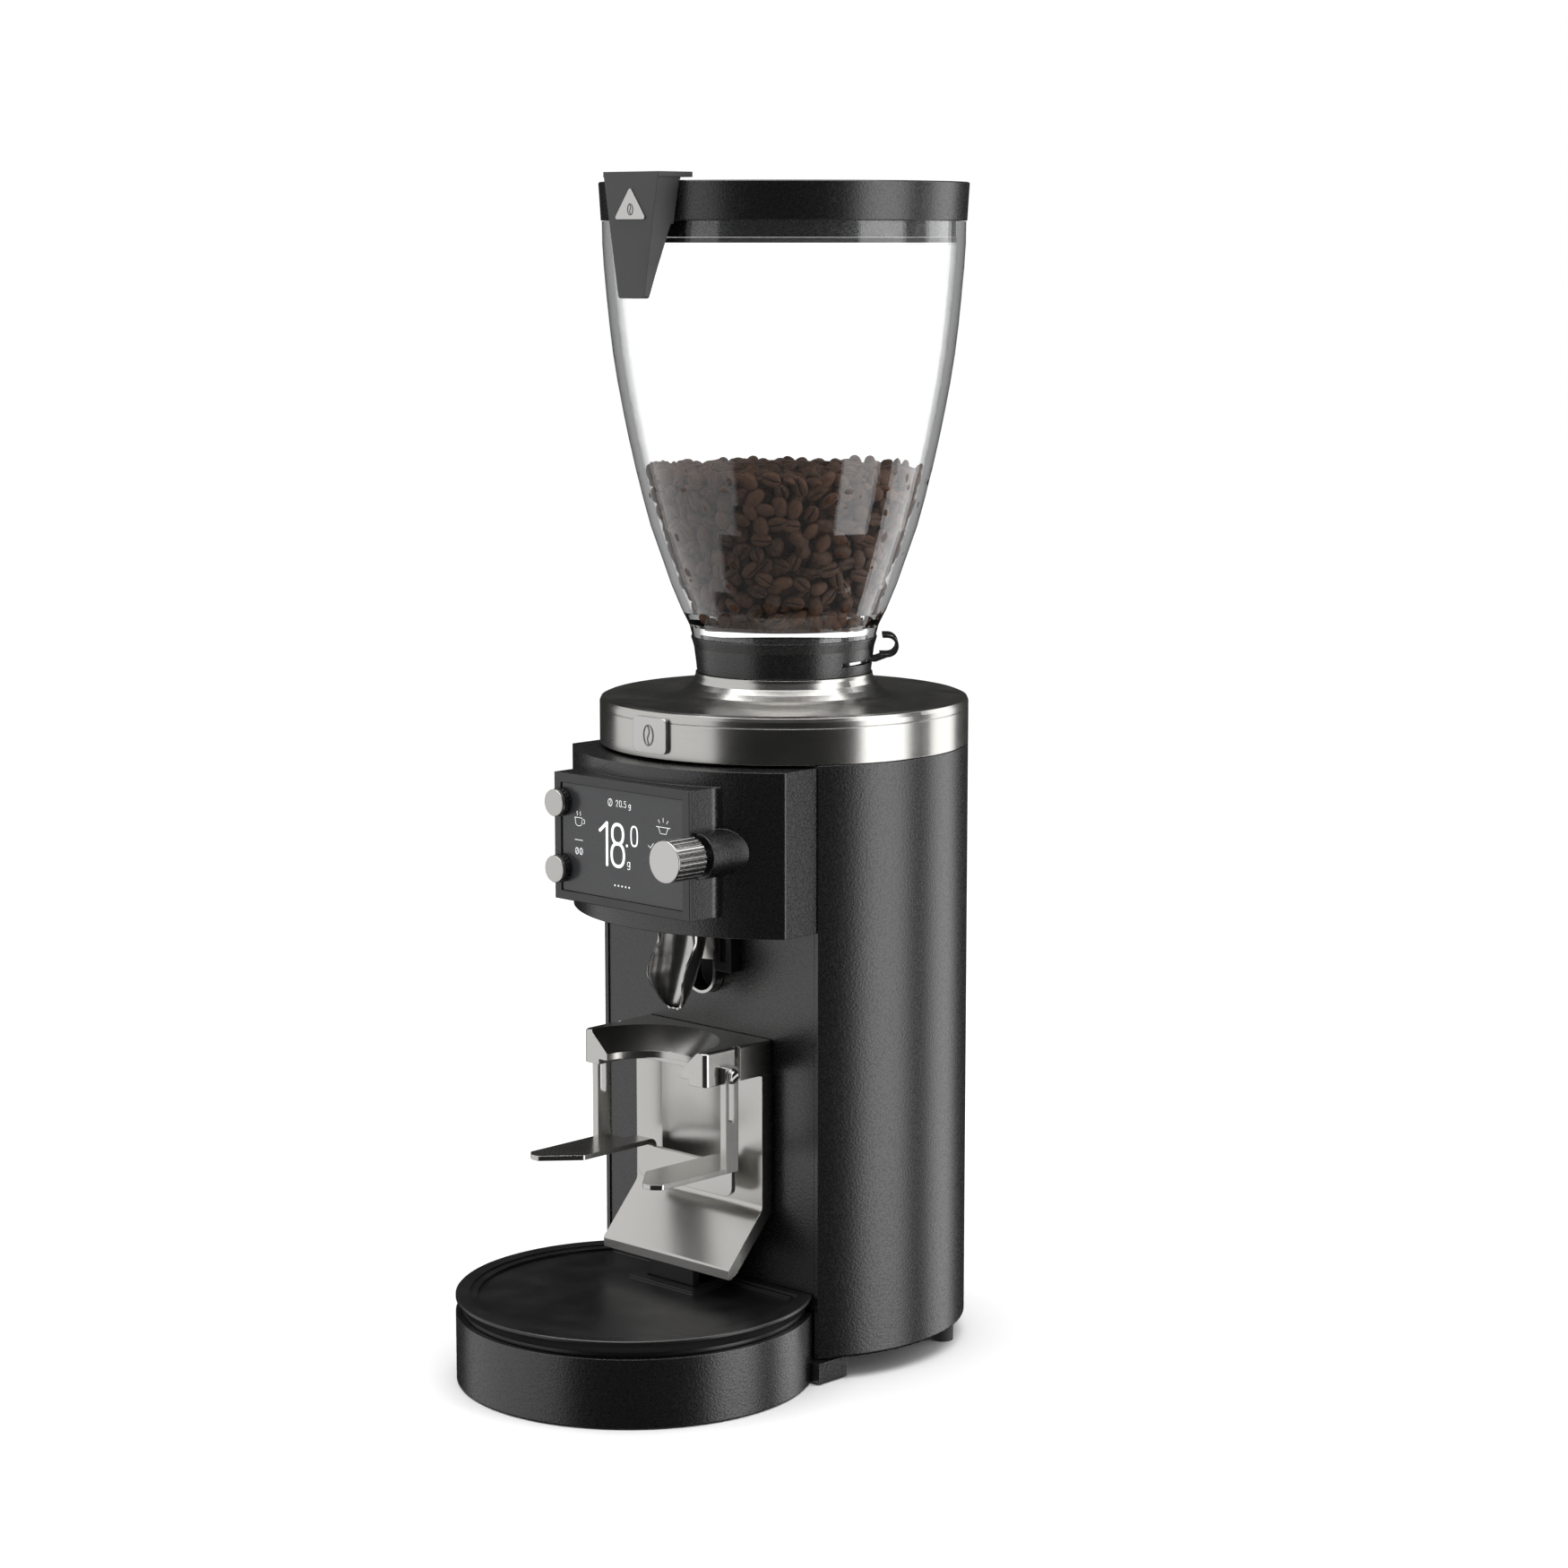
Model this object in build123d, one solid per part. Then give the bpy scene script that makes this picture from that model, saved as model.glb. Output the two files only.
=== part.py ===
from build123d import *
import math
import os

os.makedirs("parts", exist_ok=True)

# ---------------------------------------------------------------- driving sizes (mm, +Z up)
# Everything is drawn about the tower's own axis, then set back by axis_set_back so that
# the origin lies under the middle of the whole machine.

# overall
tower_radius = 111.0            # half of the body's width
tray_radius = 105.7             # round drip tray and base in front of the tower
tray_reach = 127.1              # tray centre, forward of the tower axis
lid_top = 698.5                 # top of the hopper lid

# tower shell
shell_wall = 2.5
shell_bottom = 13.3
shell_top = 366.4
panel_front = -65.0             # flat front of the tower
panel_thickness = 3.0
panel_recess = 0.8              # front panel sits this far behind the shell edge
rod_radius = 5.0
rod_places = [(72.0, -48.0), (-72.0, -48.0), (60.0, 62.0), (-60.0, 62.0)]

# base
base_floor = 1.0
base_top = 41.3
base_wall = 4.0
base_deck = 34.0                # underside of the deck under the tray
deck_top = 38.0
tongue_top = 13.0               # part of the base that runs under the tower
tongue_half_width = 96.0
tongue_back = -34.0
tongue_corner = 12.0
foot_radius = 6.5

# tray
tray_seat = 41.6
tray_top = 51.9
tray_lip = 2.0
tray_rim_width = 8.5
tray_floor_top = 48.4
tray_floor_bottom = 45.2

# scale platform and portafilter cradle
plate_front = -73.8
plate_half_width = 53.3
plate_top = 179.4
plate_kink = 99.0
plate_toe_y = -102.0
plate_toe_z = 68.0
plate_lip_z = 62.0
sheet = 2.0
return_depth = 7.0
relief_radius = 74.0
relief_half_width = 31.0
relief_bottom = 110.0
cradle_top = 200.0
cradle_bottom = 179.7
cradle_front = -119.3
cradle_half_width = 51.2
funnel_centre_y = -119.6
funnel_top_radius = 45.3
funnel_ring_radius = 31.0
funnel_cone_bottom = 187.0
funnel_ring_bottom = 183.0
post_half_width = 18.4
post_front = -97.0
post_back = -92.0

# height-adjusted fork
fork_half_width = 56.5
arm_thickness = 4.5
arm_front = -107.2
arm_back = -96.9
arm_top = 190.4
blade_top = 130.6
blade_thickness = 3.0
blade_inner = 26.5
blade_front = -163.0
flange_half_width = 40.0
flange_front = -86.0
flange_bottom = 106.0
slot_y = -102.5
slot_low = 157.5
slot_high = 187.6
slot_width = 4.6
screw_z = 185.2

# grinding outlet
outlet_z = 234.3                # centre of the round bottom of the outlet
outlet_radius = 11.0
outlet_wall = 1.8
outlet_front = -72.0
outlet_open_top = 266.0
chute_wall = 1.4

# head, display and controls
head_radius = 127.6
head_half_width = 89.0
head_bottom = 268.5
head_top = 365.0
head_wall = 3.0
display_front = -136.2
display_half_width = 56.7
display_bottom = 280.5
display_top = 355.9
bezel_thickness = 2.5
screen_half_width = 51.0
screen_bottom = 285.9
screen_top = 350.4
screen_recess = 0.9
knob_x = 59.5
knob_z = 318.5
knob_front = -159.0
knob_back = -136.9
knob_radius = 12.2
knob_flutes = 24
flute_radius = 1.4
boss_radius = 13.5
boss_front = -132.6
button_x = -50.5
button_heights = (338.6, 299.2)
button_front = -142.5
button_radius = 8.0
button_travel = 0.9

# grinding set (80 mm flat burrs)
burr_radius = 40.0
burr_bore = 22.0
burr_thickness = 9.0
burr_gap = 0.18
chamber_floor = 223.5
chamber_radius = 52.0
lower_burr_z = 236.0
carrier_radius = 45.0
carrier_thread_radius = 42.0
ring_z0 = 310.0
ring_z1 = 327.0
ring_radius = 51.2
ring_teeth = 72
worm_radius = 8.0
worm_half_length = 12.0
shaft_radius = 4.0
running_gap = 0.08
gap = 0.3                       # standing clearance between moving pieces

# motor
motor_deck_z = 212.0
motor_deck_thickness = 6.0
upper_deck_z = 296.0
upper_deck_thickness = 4.0
body_neck_radius = 56.0
rotor_radius = 33.0
stator_inner = 33.6
stator_outer = 56.8
housing_outer = 60.2
stack_bottom = 75.0
stack_top = 175.0
shaft_big = 9.0

# top ring and neck
ring_bottom = 366.9
ring_top = 394.8
neck_top = 408.6
cover_wall = 3.0
neck_bore = 45.0
badge_width = 27.2
badge_height = 2.6
badge_bottom = 370.0
badge_top = 391.0

# hopper
collar_bottom = 409.0
collar_top = 430.4
collar_lip = 3.0                 # height of the lip that locates the hopper on its collar
gate_z = 415.2
gate_thickness = 1.9
gate_half_width = 37.0
gate_angle = 43.8               # direction the gate pulls out, degrees from +X
gate_slit = 0.35
curl_reach = 62.0               # centre of the gate's finger curl, from the tower axis
curl_radius = 4.9
curl_rise = 2.6
gate_reach = 50.6
slit_half_width = 40.5
curl_width = 22.0
throat_radius = 34.0
hopper_wall = 5.0
hopper_outer = [(55.2, 430.6), (56.9, 437.0), (58.6, 440.5), (61.6, 446.5), (67.9, 461.8),
                (73.8, 479.0), (79.8, 496.3), (84.4, 513.4), (88.6, 530.5), (92.4, 547.6),
                (95.8, 564.6), (98.9, 581.6), (101.5, 598.5), (103.5, 615.4), (105.0, 630.7),
                (106.6, 649.1), (107.4, 662.5), (107.6, 675.8)]
hopper_mouth = hopper_outer[-1][0] - hopper_wall
bean_clearance = 0.6
bean_level = 530.5
lid_radius = 109.5
lid_bottom_radius = 108.2
lid_bottom = 676.2
clip_front = -125.0
clip_top = 703.2
clip_bottom = 632.0
clip_badge_width = 26.0

# service panel at the back
rocker_x = 16.0
rocker_z = 43.0
rocker_pivot_y = 89.0
rocker_tilt = 7.0
rocker_half_width = 4.7
rocker_pin_radius = 1.6

axis_set_back = (tray_reach + tray_radius + tower_radius) / 2 - tower_radius

# ---------------------------------------------------------------- drawing helpers
LOW = (Align.CENTER, Align.CENTER, Align.MIN)


def disc(radius, z0, z1, x=0.0, y=0.0):
    return Pos(x, y, z0) * Cylinder(radius, z1 - z0, align=LOW)


def tube(outer, inner, z0, z1, x=0.0, y=0.0):
    return disc(outer, z0, z1, x, y) - disc(inner, z0 - 1, z1 + 1, x, y)


def block(x0, x1, y0, y1, z0, z1):
    return Pos((x0 + x1) / 2, (y0 + y1) / 2, (z0 + z1) / 2) * Box(x1 - x0, y1 - y0, z1 - z0)


def bar_y(radius, y0, y1, x, z):
    return Pos(x, y0, z) * Rot(-90, 0, 0) * Cylinder(radius, y1 - y0, align=LOW)


def bar_x(radius, x0, x1, y, z):
    return Pos(x0, y, z) * Rot(0, 90, 0) * Cylinder(radius, x1 - x0, align=LOW)


def turned(points):
    return revolve(Plane.XZ * make_face(Polyline(*points, close=True)), Axis.Z)


def side_profile(points, half_width):
    """Solid from a closed outline in the YZ plane, spread evenly across X."""
    face = Plane.YZ * make_face(Polyline(*points, close=True))
    return extrude(face, half_width, both=True)


def front_profile(points, y0, depth):
    """Solid from a closed outline in the XZ plane, from y0 back by depth."""
    face = Plane.XZ.offset(-y0) * make_face(Polyline(*points, close=True))
    return extrude(face, depth, dir=(0, 1, 0))


def plan_profile(points, z0, z1):
    return Pos(0, 0, z0) * extrude(make_face(Polyline(*points, close=True)), z1 - z0)


def mirrored(shape):
    return shape + mirror(shape, Plane.YZ)


def softened(shape, edges, radius):
    """Round the edges where the geometry allows it."""
    try:
        return fillet(edges, radius)
    except Exception:
        return shape


def edges_at(shape, y, z):
    """Edges along X that pass through a place in the YZ plane."""
    return [e for e in shape.edges().filter_by(Axis.X)
            if abs(e.center().Y - y) < 0.05 and abs(e.center().Z - z) < 0.05]


def group(*solids):
    """Several separate solids kept together as one piece."""
    whole = Part() + solids[0]
    for solid in solids[1:]:
        whole += solid
    return whole


def save(name, shape):
    export_step(Pos(0, axis_set_back, 0) * shape, "parts/" + name + ".step")


def behind_panel(y):
    return block(-200, 200, y, 200, -10, 800)


# ---------------------------------------------------------------- base
def base_outline(radius, back, z0, z1):
    return disc(radius, z0, z1, 0, -tray_reach) & block(-200, 200, -400, back, z0, z1)


def base_casting():
    front = base_outline(tray_radius, panel_front - gap, base_floor, base_top)
    front -= base_outline(tray_radius - base_wall, panel_front - gap - base_wall, 0, base_deck)
    front -= base_outline(100.0, panel_front - gap - base_wall, deck_top, base_top + 1)
    half = tongue_half_width
    back, corner = tongue_back, tongue_corner
    tongue_points = [(-half, -70), (half, -70), (half, back - corner), (half - corner, back),
                     (corner - half, back), (-half, back - corner)]
    tongue = plan_profile(tongue_points, base_floor, tongue_top)
    tongue -= block(-84, 84, -80, -50, 0, tongue_top - base_wall)
    cell_pad = block(-14, 14, -166, -146, 4.4, 15.0) + block(-5, 5, -230, -160, 4.4, 12.0)
    reach = post_half_width + 2
    opening = block(-reach, reach, post_front - 2.6, -84, base_deck - 1, base_top + 1)
    casting = front + tongue + cell_pad - opening
    for x in (-60, 60):
        for y in (-tray_reach - 0.6 * tray_radius, -tray_reach + 0.35 * tray_radius):
            casting += disc(8, 4.4, base_deck + 0.5, x, y)
    return casting


def base_bottom_plate():
    plate = base_outline(tray_radius - base_wall - gap, panel_front - 5, 2.4, 4.4)
    for x in (-60, 60):
        plate -= disc(4, 0, 10, x, -tray_reach - 0.6 * tray_radius)
    return plate


def rubber_feet():
    places = [(side * across * tray_radius, -tray_reach + along * tray_radius)
              for side in (-1, 1) for across, along in ((0.568, -0.595), (0.719, 0.256))]
    front = [disc(9, 0, 2.4, x, y) for x, y in places]
    rear_x, rear_y = 0.783 * tower_radius, 0.446 * tower_radius
    rear = [disc(foot_radius, 0, shell_bottom, x, rear_y) for x in (-rear_x, rear_x)]
    return group(*front, *rear)


def load_cell():
    beam = block(-11, 11, -164, -86, 15.0, 31.0)
    holes = bar_x(5.5, -20, 20, -131, 23) + bar_x(5.5, -20, 20, -119, 23)
    return beam - holes - block(-20, 20, -131, -119, 20.5, 25.5)


def scale_post():
    slope = (plate_kink - plate_toe_z) / (plate_front - plate_toe_y)
    run = math.hypot(1.0, slope)
    under = -(sheet + 0.25) * run
    top_front = plate_toe_z + (post_front - plate_toe_y) * slope + under
    top_back = plate_toe_z + (post_back - plate_toe_y) * slope + under
    outline = [(post_front, 31.0), (post_back, 31.0), (post_back, top_back), (post_front, top_front)]
    return side_profile(outline, post_half_width)


def tray():
    back = panel_front - gap
    body = turned([(0, tray_seat), (101.5, tray_seat), (101.5, 44.0), (104.3, tray_top - tray_lip),
                   (tray_radius, tray_top - tray_lip), (tray_radius, tray_top - 0.5),
                   (tray_radius - 0.5, tray_top), (0, tray_top)])
    body = Pos(0, -tray_reach, 0) * body & block(-200, 200, -400, back, 0, 100)
    skirt = base_outline(99.6, back - base_wall - gap, 39.0, tray_seat)
    skirt -= base_outline(96.5, back - base_wall - 3, 30, 60)
    rim = tray_radius - tray_rim_width
    pan = base_outline(rim - 4.5, back - tray_rim_width, tray_floor_top, tray_top + 1)
    pan += base_outline(rim, back - tray_rim_width + 3, 50.6, tray_top + 1)
    under = base_outline(96.5, back - 7, tray_seat - 5, tray_floor_bottom)
    ridge = block(-27, 27, -106, back - 2, tray_floor_bottom, 50.2)
    notch = block(-post_half_width - 1.4, post_half_width + 1.4, post_front - 1.6, back + 5, 30, 60)
    return body + skirt - pan - under + ridge - notch


# ---------------------------------------------------------------- scale platform, cradle and fork
def weigh_plate():
    front = [(plate_front, plate_top), (plate_front, plate_kink), (plate_toe_y, plate_toe_z),
             (plate_toe_y, plate_lip_z)]
    back = plate_front + return_depth + 1.0
    rear = [(plate_toe_y + sheet, plate_lip_z), (plate_toe_y + return_depth, plate_toe_z - 3.5),
            (back, plate_kink - 3.0), (back, plate_top)]
    shell = side_profile(front + rear, plate_half_width)
    shell = softened(shell, edges_at(shell, plate_front, plate_kink), 6.0)
    shell = softened(shell, edges_at(shell, plate_toe_y, plate_toe_z), 2.5)
    inner = [(plate_front + sheet, plate_top - sheet), (plate_front + sheet, plate_kink - 0.8),
             (plate_toe_y + sheet, plate_toe_z - 0.8), (plate_toe_y + sheet, plate_lip_z - 5),
             (plate_front + 30, plate_lip_z - 5), (plate_front + 30, plate_top - sheet)]
    shell -= side_profile(inner, plate_half_width - sheet)
    centre_y = plate_front + 6.8 - relief_radius
    window = block(-relief_half_width, relief_half_width, plate_front - 1, plate_front + sheet + 0.1,
                   relief_bottom, plate_top - sheet)
    trough = disc(relief_radius + 1.6, relief_bottom, plate_top - sheet, 0, centre_y)
    half = relief_half_width + 1.5
    trough &= block(-half, half, plate_front, panel_front - 0.2, relief_bottom, plate_top)
    trough -= disc(relief_radius, relief_bottom + 2, plate_top, 0, centre_y)
    return shell - window + trough


def cradle():
    half = cradle_half_width
    body = plan_profile([(-half, cradle_front), (half, cradle_front), (half + 1.2, panel_front - 0.3),
                         (-half - 1.2, panel_front - 0.3)], cradle_bottom, cradle_top)
    body = softened(body, body.edges().filter_by(Axis.Z).group_by(Axis.Y)[0], 3.5)
    body = softened(body, body.faces().sort_by(Axis.Z)[-1].edges().group_by(Axis.Y)[0], 2.0)
    clearance = [(-38, -130), (38, -130), (38, -100), (30, -88), (-30, -88), (-38, -100)]
    body -= plan_profile(clearance, 170, funnel_ring_bottom)
    bore = turned([(0, 150), (funnel_ring_radius, 150), (funnel_ring_radius, funnel_cone_bottom),
                   (funnel_top_radius, cradle_top), (funnel_top_radius + 1, cradle_top + 1),
                   (0, cradle_top + 1)])
    body -= Pos(0, funnel_centre_y, 0) * bore
    groove = block(half - 2.5, half + 5, -95.0, -90.6, 170, 210)
    body -= mirrored(groove)
    body -= mirrored(bar_x(2.05, half - 3.2, 60, slot_y, screw_z))
    return body


def fork():
    outline = [(fork_half_width - 0.6, -158.5), (50.5, blade_front), (44.5, blade_front),
               (blade_inner, -143), (blade_inner, -91), (flange_half_width, -91),
               (flange_half_width, arm_back), (fork_half_width, arm_back)]
    z0 = blade_top - blade_thickness
    blade = plan_profile(outline, z0, blade_top)
    tips = [e for e in blade.edges().filter_by(Axis.Z) if e.center().Y < -140]
    blades = mirrored(softened(blade, tips, 3.0))
    arm = block(fork_half_width - arm_thickness, fork_half_width, arm_front, arm_back, z0, arm_top)
    end = slot_width / 2
    slot = block(40, 70, slot_y - end, slot_y + end, slot_low + end, slot_high - end)
    slot += bar_x(end, 40, 70, slot_y, slot_low + end) + bar_x(end, 40, 70, slot_y, slot_high - end)
    arms = mirrored(softened(arm, arm.edges().filter_by(Axis.X).group_by(Axis.Z)[-1], 1.5) - slot)
    bend = 5.0
    flange = block(-flange_half_width, flange_half_width, flange_front, flange_front + blade_thickness,
                   flange_bottom, blade_top - bend)
    flange = softened(flange, flange.edges().filter_by(Axis.Y).group_by(Axis.Z)[0], 6.0)
    bend_y, bend_z = flange_front + blade_thickness - bend, blade_top - bend
    elbow = bar_x(bend, blade_inner, flange_half_width, bend_y, bend_z)
    elbow -= bar_x(bend - blade_thickness, 0, 80, bend_y, bend_z)
    elbow &= block(0, 80, bend_y, -60, bend_z, blade_top)
    bridge = block(blade_inner, flange_half_width, -93, bend_y, z0, blade_top)
    return blades + arms + flange + mirrored(elbow + bridge)


def height_screw():
    x0 = cradle_half_width - 3.0
    screw = bar_x(2.0, x0, fork_half_width + 1.0, slot_y, screw_z)
    washer = bar_x(4.6, fork_half_width + gap, fork_half_width + 1.1, slot_y, screw_z)
    head = bar_x(3.7, fork_half_width + 1.1, fork_half_width + 2.9, slot_y, screw_z)
    head = softened(head, head.edges().sort_by(Axis.X)[-1], 0.9)
    cut = Pos(0, slot_y, screw_z) * Rot(25, 0, 0) * block(fork_half_width + 2.0, 70, -5, 5, -0.5, 0.5)
    return screw + washer + head - cut


def height_screws():
    right = height_screw()
    return group(right, mirror(right, Plane.YZ))


# ---------------------------------------------------------------- outlet and chute
def u_section(radius, z_centre, y0, y1, top):
    return bar_y(radius, y0, y1, 0, z_centre) + block(-radius, radius, y0, y1, z_centre, top)


def outlet_spout():
    back = -chamber_radius + 2.5
    outer = u_section(outlet_radius + outlet_wall, outlet_z, outlet_front, back, outlet_open_top)
    inner = u_section(outlet_radius, outlet_z, outlet_front - 1, back + 1, outlet_open_top + 1)
    return outer - inner - disc(60.8, 0, 300)


def outlet_flap():
    flap = block(-outlet_radius + gap, outlet_radius - gap, -69.5, -68.7, 240.0, outlet_open_top + 6)
    wedge = plan_profile([(-20, 236), (20, 236), (20, 244), (-20, 240)], 0, 6)
    wedge = Rot(90, 0, 0) * wedge
    return flap - Pos(0, -66, 0) * wedge


def outlet_guide():
    side = block(13.4, 26.6, -73.0, panel_front + panel_recess - 0.1, 237.5, head_bottom + 8)
    side -= block(17.6, 22.6, -74, -70.4, 243, head_bottom + 9)
    bridge = block(-26.6, 26.6, -71.9, panel_front + panel_recess - 0.1, head_bottom + 4, head_bottom + 8)
    return mirrored(side) + bridge


def chute_skin(inset):
    """Closed bag shape the chute is cut from; inset gives the inner face."""
    levels = [(275.0, 15.9, -88.6), (250.0, 15.4, -89.2), (238.0, 15.6, -92.5),
              (229.0, 13.8, -95.2), (221.0, 9.8, -97.0), (215.4, 4.2, -98.0)]
    faces = [Pos(0, y, z) * Circle(max(r - inset, 0.8)) for z, r, y in levels]
    return loft([face if isinstance(face, Sketch) else Sketch() + face for face in faces])


def chute():
    bag = chute_skin(0) - chute_skin(chute_wall)
    rim = [(-150, 280), (-94.0, 280), (-94.0, 252), (-96.5, 243), (-101.5, 236), (-104.0, 231),
           (-102.0, 224), (-98.5, 217), (-97.5, 213), (-96.5, 205), (-150, 205)]
    body = bag - side_profile(rim, 60)
    flange = block(-19, 19, -92.0, -73.2, head_bottom + 4, 275.0) - disc(14.6, 200, 300, 0, -88.6)
    return body + flange


# ---------------------------------------------------------------- tower shell and frame
def rear_shell():
    shell = tube(tower_radius, tower_radius - shell_wall, shell_bottom, shell_top)
    shell = softened(shell, shell.faces().sort_by(Axis.Z)[0].outer_wire().edges(), 1.5)
    shell -= block(-200, 200, -200, panel_front, 0, 400)
    shell -= block(-31.5, 31.5, 80, 130, 21.5, 64.5)
    for level in range(6):
        z = 84 + level * 9
        shell -= block(-30, 30, 80, 130, z, z + 4)
        shell -= block(-30, 30, 80, 130, z + 190, z + 194)
    return shell


def front_panel():
    front = panel_front + panel_recess
    inner = tower_radius - shell_wall - gap
    half = math.sqrt(inner ** 2 - front ** 2)
    panel = block(-half, half, front, front + panel_thickness, shell_bottom, shell_top)
    edge = outlet_radius + outlet_wall + gap
    panel -= u_section(edge, outlet_z, front - 1, front + 10, outlet_open_top + gap)
    panel -= bar_y(shaft_radius + 2, front - 1, front + 10, knob_x, knob_z)
    panel -= block(-46, -20, front - 1, front + 10, 300, 330)
    return panel & disc(inner, 0, 500)


def deck(z0, thickness, hole):
    plate = disc(tower_radius - shell_wall - gap, z0, z0 + thickness) - disc(hole, z0 - 1, z0 + thickness + 1)
    plate &= behind_panel(panel_front + panel_recess + panel_thickness + 0.2)
    for x, y in rod_places:
        plate -= disc(rod_radius, z0 - 1, z0 + thickness + 1, x, y)
    return plate


def tower_base_plate():
    plate = deck(shell_bottom, 4.0, 12.0)
    for angle in range(0, 360, 30):
        slot = Rot(0, 0, angle) * block(28, 56, -4, 4, 0, 30)
        plate -= slot
    return plate


def frame_rods():
    rods = [disc(rod_radius, shell_bottom, ring_top - cover_wall, x, y) for x, y in rod_places]
    return group(*rods)


def motor_deck():
    plate = deck(motor_deck_z, motor_deck_thickness, 22.0)
    return plate - block(-86, -78, 20, 60, 200, 230)


def upper_deck():
    plate = deck(upper_deck_z, upper_deck_thickness, body_neck_radius + gap)
    plate -= block(-95, -70, 10, 55, 290, 305)
    return plate


# ---------------------------------------------------------------- motor
def motor_housing():
    shell = tube(housing_outer, stator_outer, 50, 200)
    lower_bell = disc(housing_outer, 46, 50) - disc(16.1, 40, 60)
    upper_bell = disc(housing_outer, 200, 204) - disc(16.1, 190, 210)
    seats = tube(20, 16.1, 46, 58) + tube(20, 16.1, 196, 204)
    spacers = [disc(6, 204, motor_deck_z, x, y) for x, y in ((37, 37), (-37, 37), (37, -37), (-37, -37))]
    housing = shell + lower_bell + upper_bell + seats
    for spacer in spacers:
        housing += spacer
    for angle in range(0, 360, 45):
        housing -= Rot(0, 0, angle) * block(28, 52, -5, 5, 40, 52)
        housing -= Rot(0, 0, angle) * block(50, 70, -4, 4, 180, 192)
    return housing


def motor_stator():
    core = tube(stator_outer, stator_inner, stack_bottom, stack_top)
    coil = tube(53, 38, stack_bottom - 14, stack_top + 14)
    for angle in range(0, 360, 30):
        coil -= Rot(0, 0, angle + 15) * block(50, 60, -3, 3, stack_bottom - 20, stack_bottom - 4)
        coil -= Rot(0, 0, angle + 15) * block(50, 60, -3, 3, stack_top + 4, stack_top + 20)
    return core + coil


def motor_rotor():
    core = tube(rotor_radius, shaft_big, stack_bottom, stack_top)
    return core + tube(30, 23, stack_bottom - 4, stack_top + 4)


def rotor_shaft():
    shaft = disc(shaft_big, 60, 194) + disc(7.5, 28, 60) + disc(7.5, 194, 228)
    return shaft + disc(6.0, 228, 247)


def cooling_fan():
    fan = tube(14, 7.5, 30, 41.5) + tube(52, 12, 40, 41.5)
    for angle in range(0, 360, 30):
        fan += Rot(0, 0, angle) * block(13, 51, -0.9, 0.9, 30, 41)
    return fan


def motor_bearings():
    lower = tube(16.0, 7.6, 46, 57)
    upper = tube(16.0, 7.6, 196, 204)
    return group(lower, upper)


def start_capacitor():
    can = bar_x(16, -28, 36, 83, 120)
    return can + block(-20, -14, 96, 106.2, 112, 128) + block(20, 26, 96, 105.0, 112, 128)


# ---------------------------------------------------------------- grinding chamber
def grinder_body():
    z0 = motor_deck_z + motor_deck_thickness
    cup = disc(60.6, z0, 262) - disc(chamber_radius, chamber_floor, 300) - disc(10.5, 0, 300)
    guide = tube(60.6, carrier_radius + running_gap, 250, 270)
    neck = tube(body_neck_radius, carrier_radius + running_gap, 262, 304)
    seat = tube(50.0, carrier_thread_radius + gap, 304, ring_z0 - gap)
    body = cup + guide + neck + seat
    body += tube(60.6, body_neck_radius, 290, upper_deck_z)
    body -= u_section(outlet_radius, outlet_z, -80, -40, 247)
    body -= disc(16, z0 - 1, z0 + 2)
    return body


def upper_burr_carrier():
    z0 = lower_burr_z + 2 * burr_thickness + burr_gap
    flange = disc(carrier_radius, z0, z0 + 8)
    stem = disc(40.0, z0 + 8, 306)
    thread = disc(carrier_thread_radius, 298, 338)
    carrier = flange + stem + thread
    bore = turned([(0, z0 - 1), (burr_bore - 1, z0 - 1), (burr_bore - 1, z0 + 8), (36, 300),
                   (36, 345), (0, 345)])
    return carrier - bore


def burr(z0, z1, cut_up):
    """Flat ring burr with radial cutting grooves on one face."""
    ring = tube(burr_radius, burr_bore, z0, z1)
    face = z1 if cut_up else z0
    inward = -1 if cut_up else 1
    cone = [(0, face - inward * 1), (34, face - inward * 1), (34, face), (burr_bore - 1, face + inward * 5.0),
            (0, face + inward * 5.0)]
    ring -= turned(cone)
    for angle in range(0, 360, 20):
        ring -= Rot(0, 0, angle) * Pos(27, 6, face) * Rot(0, 0, 24) * Box(30, 1.6, 2.0)
    return ring


def lower_burr():
    return burr(lower_burr_z, lower_burr_z + burr_thickness, True)


def upper_burr():
    z0 = lower_burr_z + burr_thickness + burr_gap
    return burr(z0, z0 + burr_thickness, False)


def lower_burr_carrier():
    plate = tube(42.0, 7.5, 228, lower_burr_z) + tube(20.5, 7.5, lower_burr_z, lower_burr_z + 4)
    for angle in range(0, 360, 60):
        plate += Rot(0, 0, angle) * block(40, chamber_radius - 1.2, -2.0, 2.0, 225.2, lower_burr_z - 1)
    return plate + disc(11, lower_burr_z + 4, lower_burr_z + 13) - disc(6.0, 220, 247) - disc(7.5, 220, 228)


def adjusting_ring():
    ring = tube(ring_radius, carrier_thread_radius, ring_z0, ring_z1)
    cutters = []
    for tooth in range(ring_teeth):
        angle = 360.0 / ring_teeth * tooth
        cutters.append(Rot(0, 0, angle) * Pos(ring_radius, 0, (ring_z0 + ring_z1) / 2) * Box(2.0, 2.0, 20))
    return ring - cutters


def worm_shaft():
    shaft = bar_y(shaft_radius, knob_back - 12, 26, knob_x, knob_z)
    worm = bar_y(worm_radius, -worm_half_length, worm_half_length, knob_x, knob_z)
    for turn in range(5):
        y = -9.0 + turn * 4.49
        groove = bar_y(worm_radius + 1, y - 0.9, y + 0.9, knob_x, knob_z)
        worm -= groove - bar_y(worm_radius - 1.6, y - 2, y + 2, knob_x, knob_z)
    return shaft + worm


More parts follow.
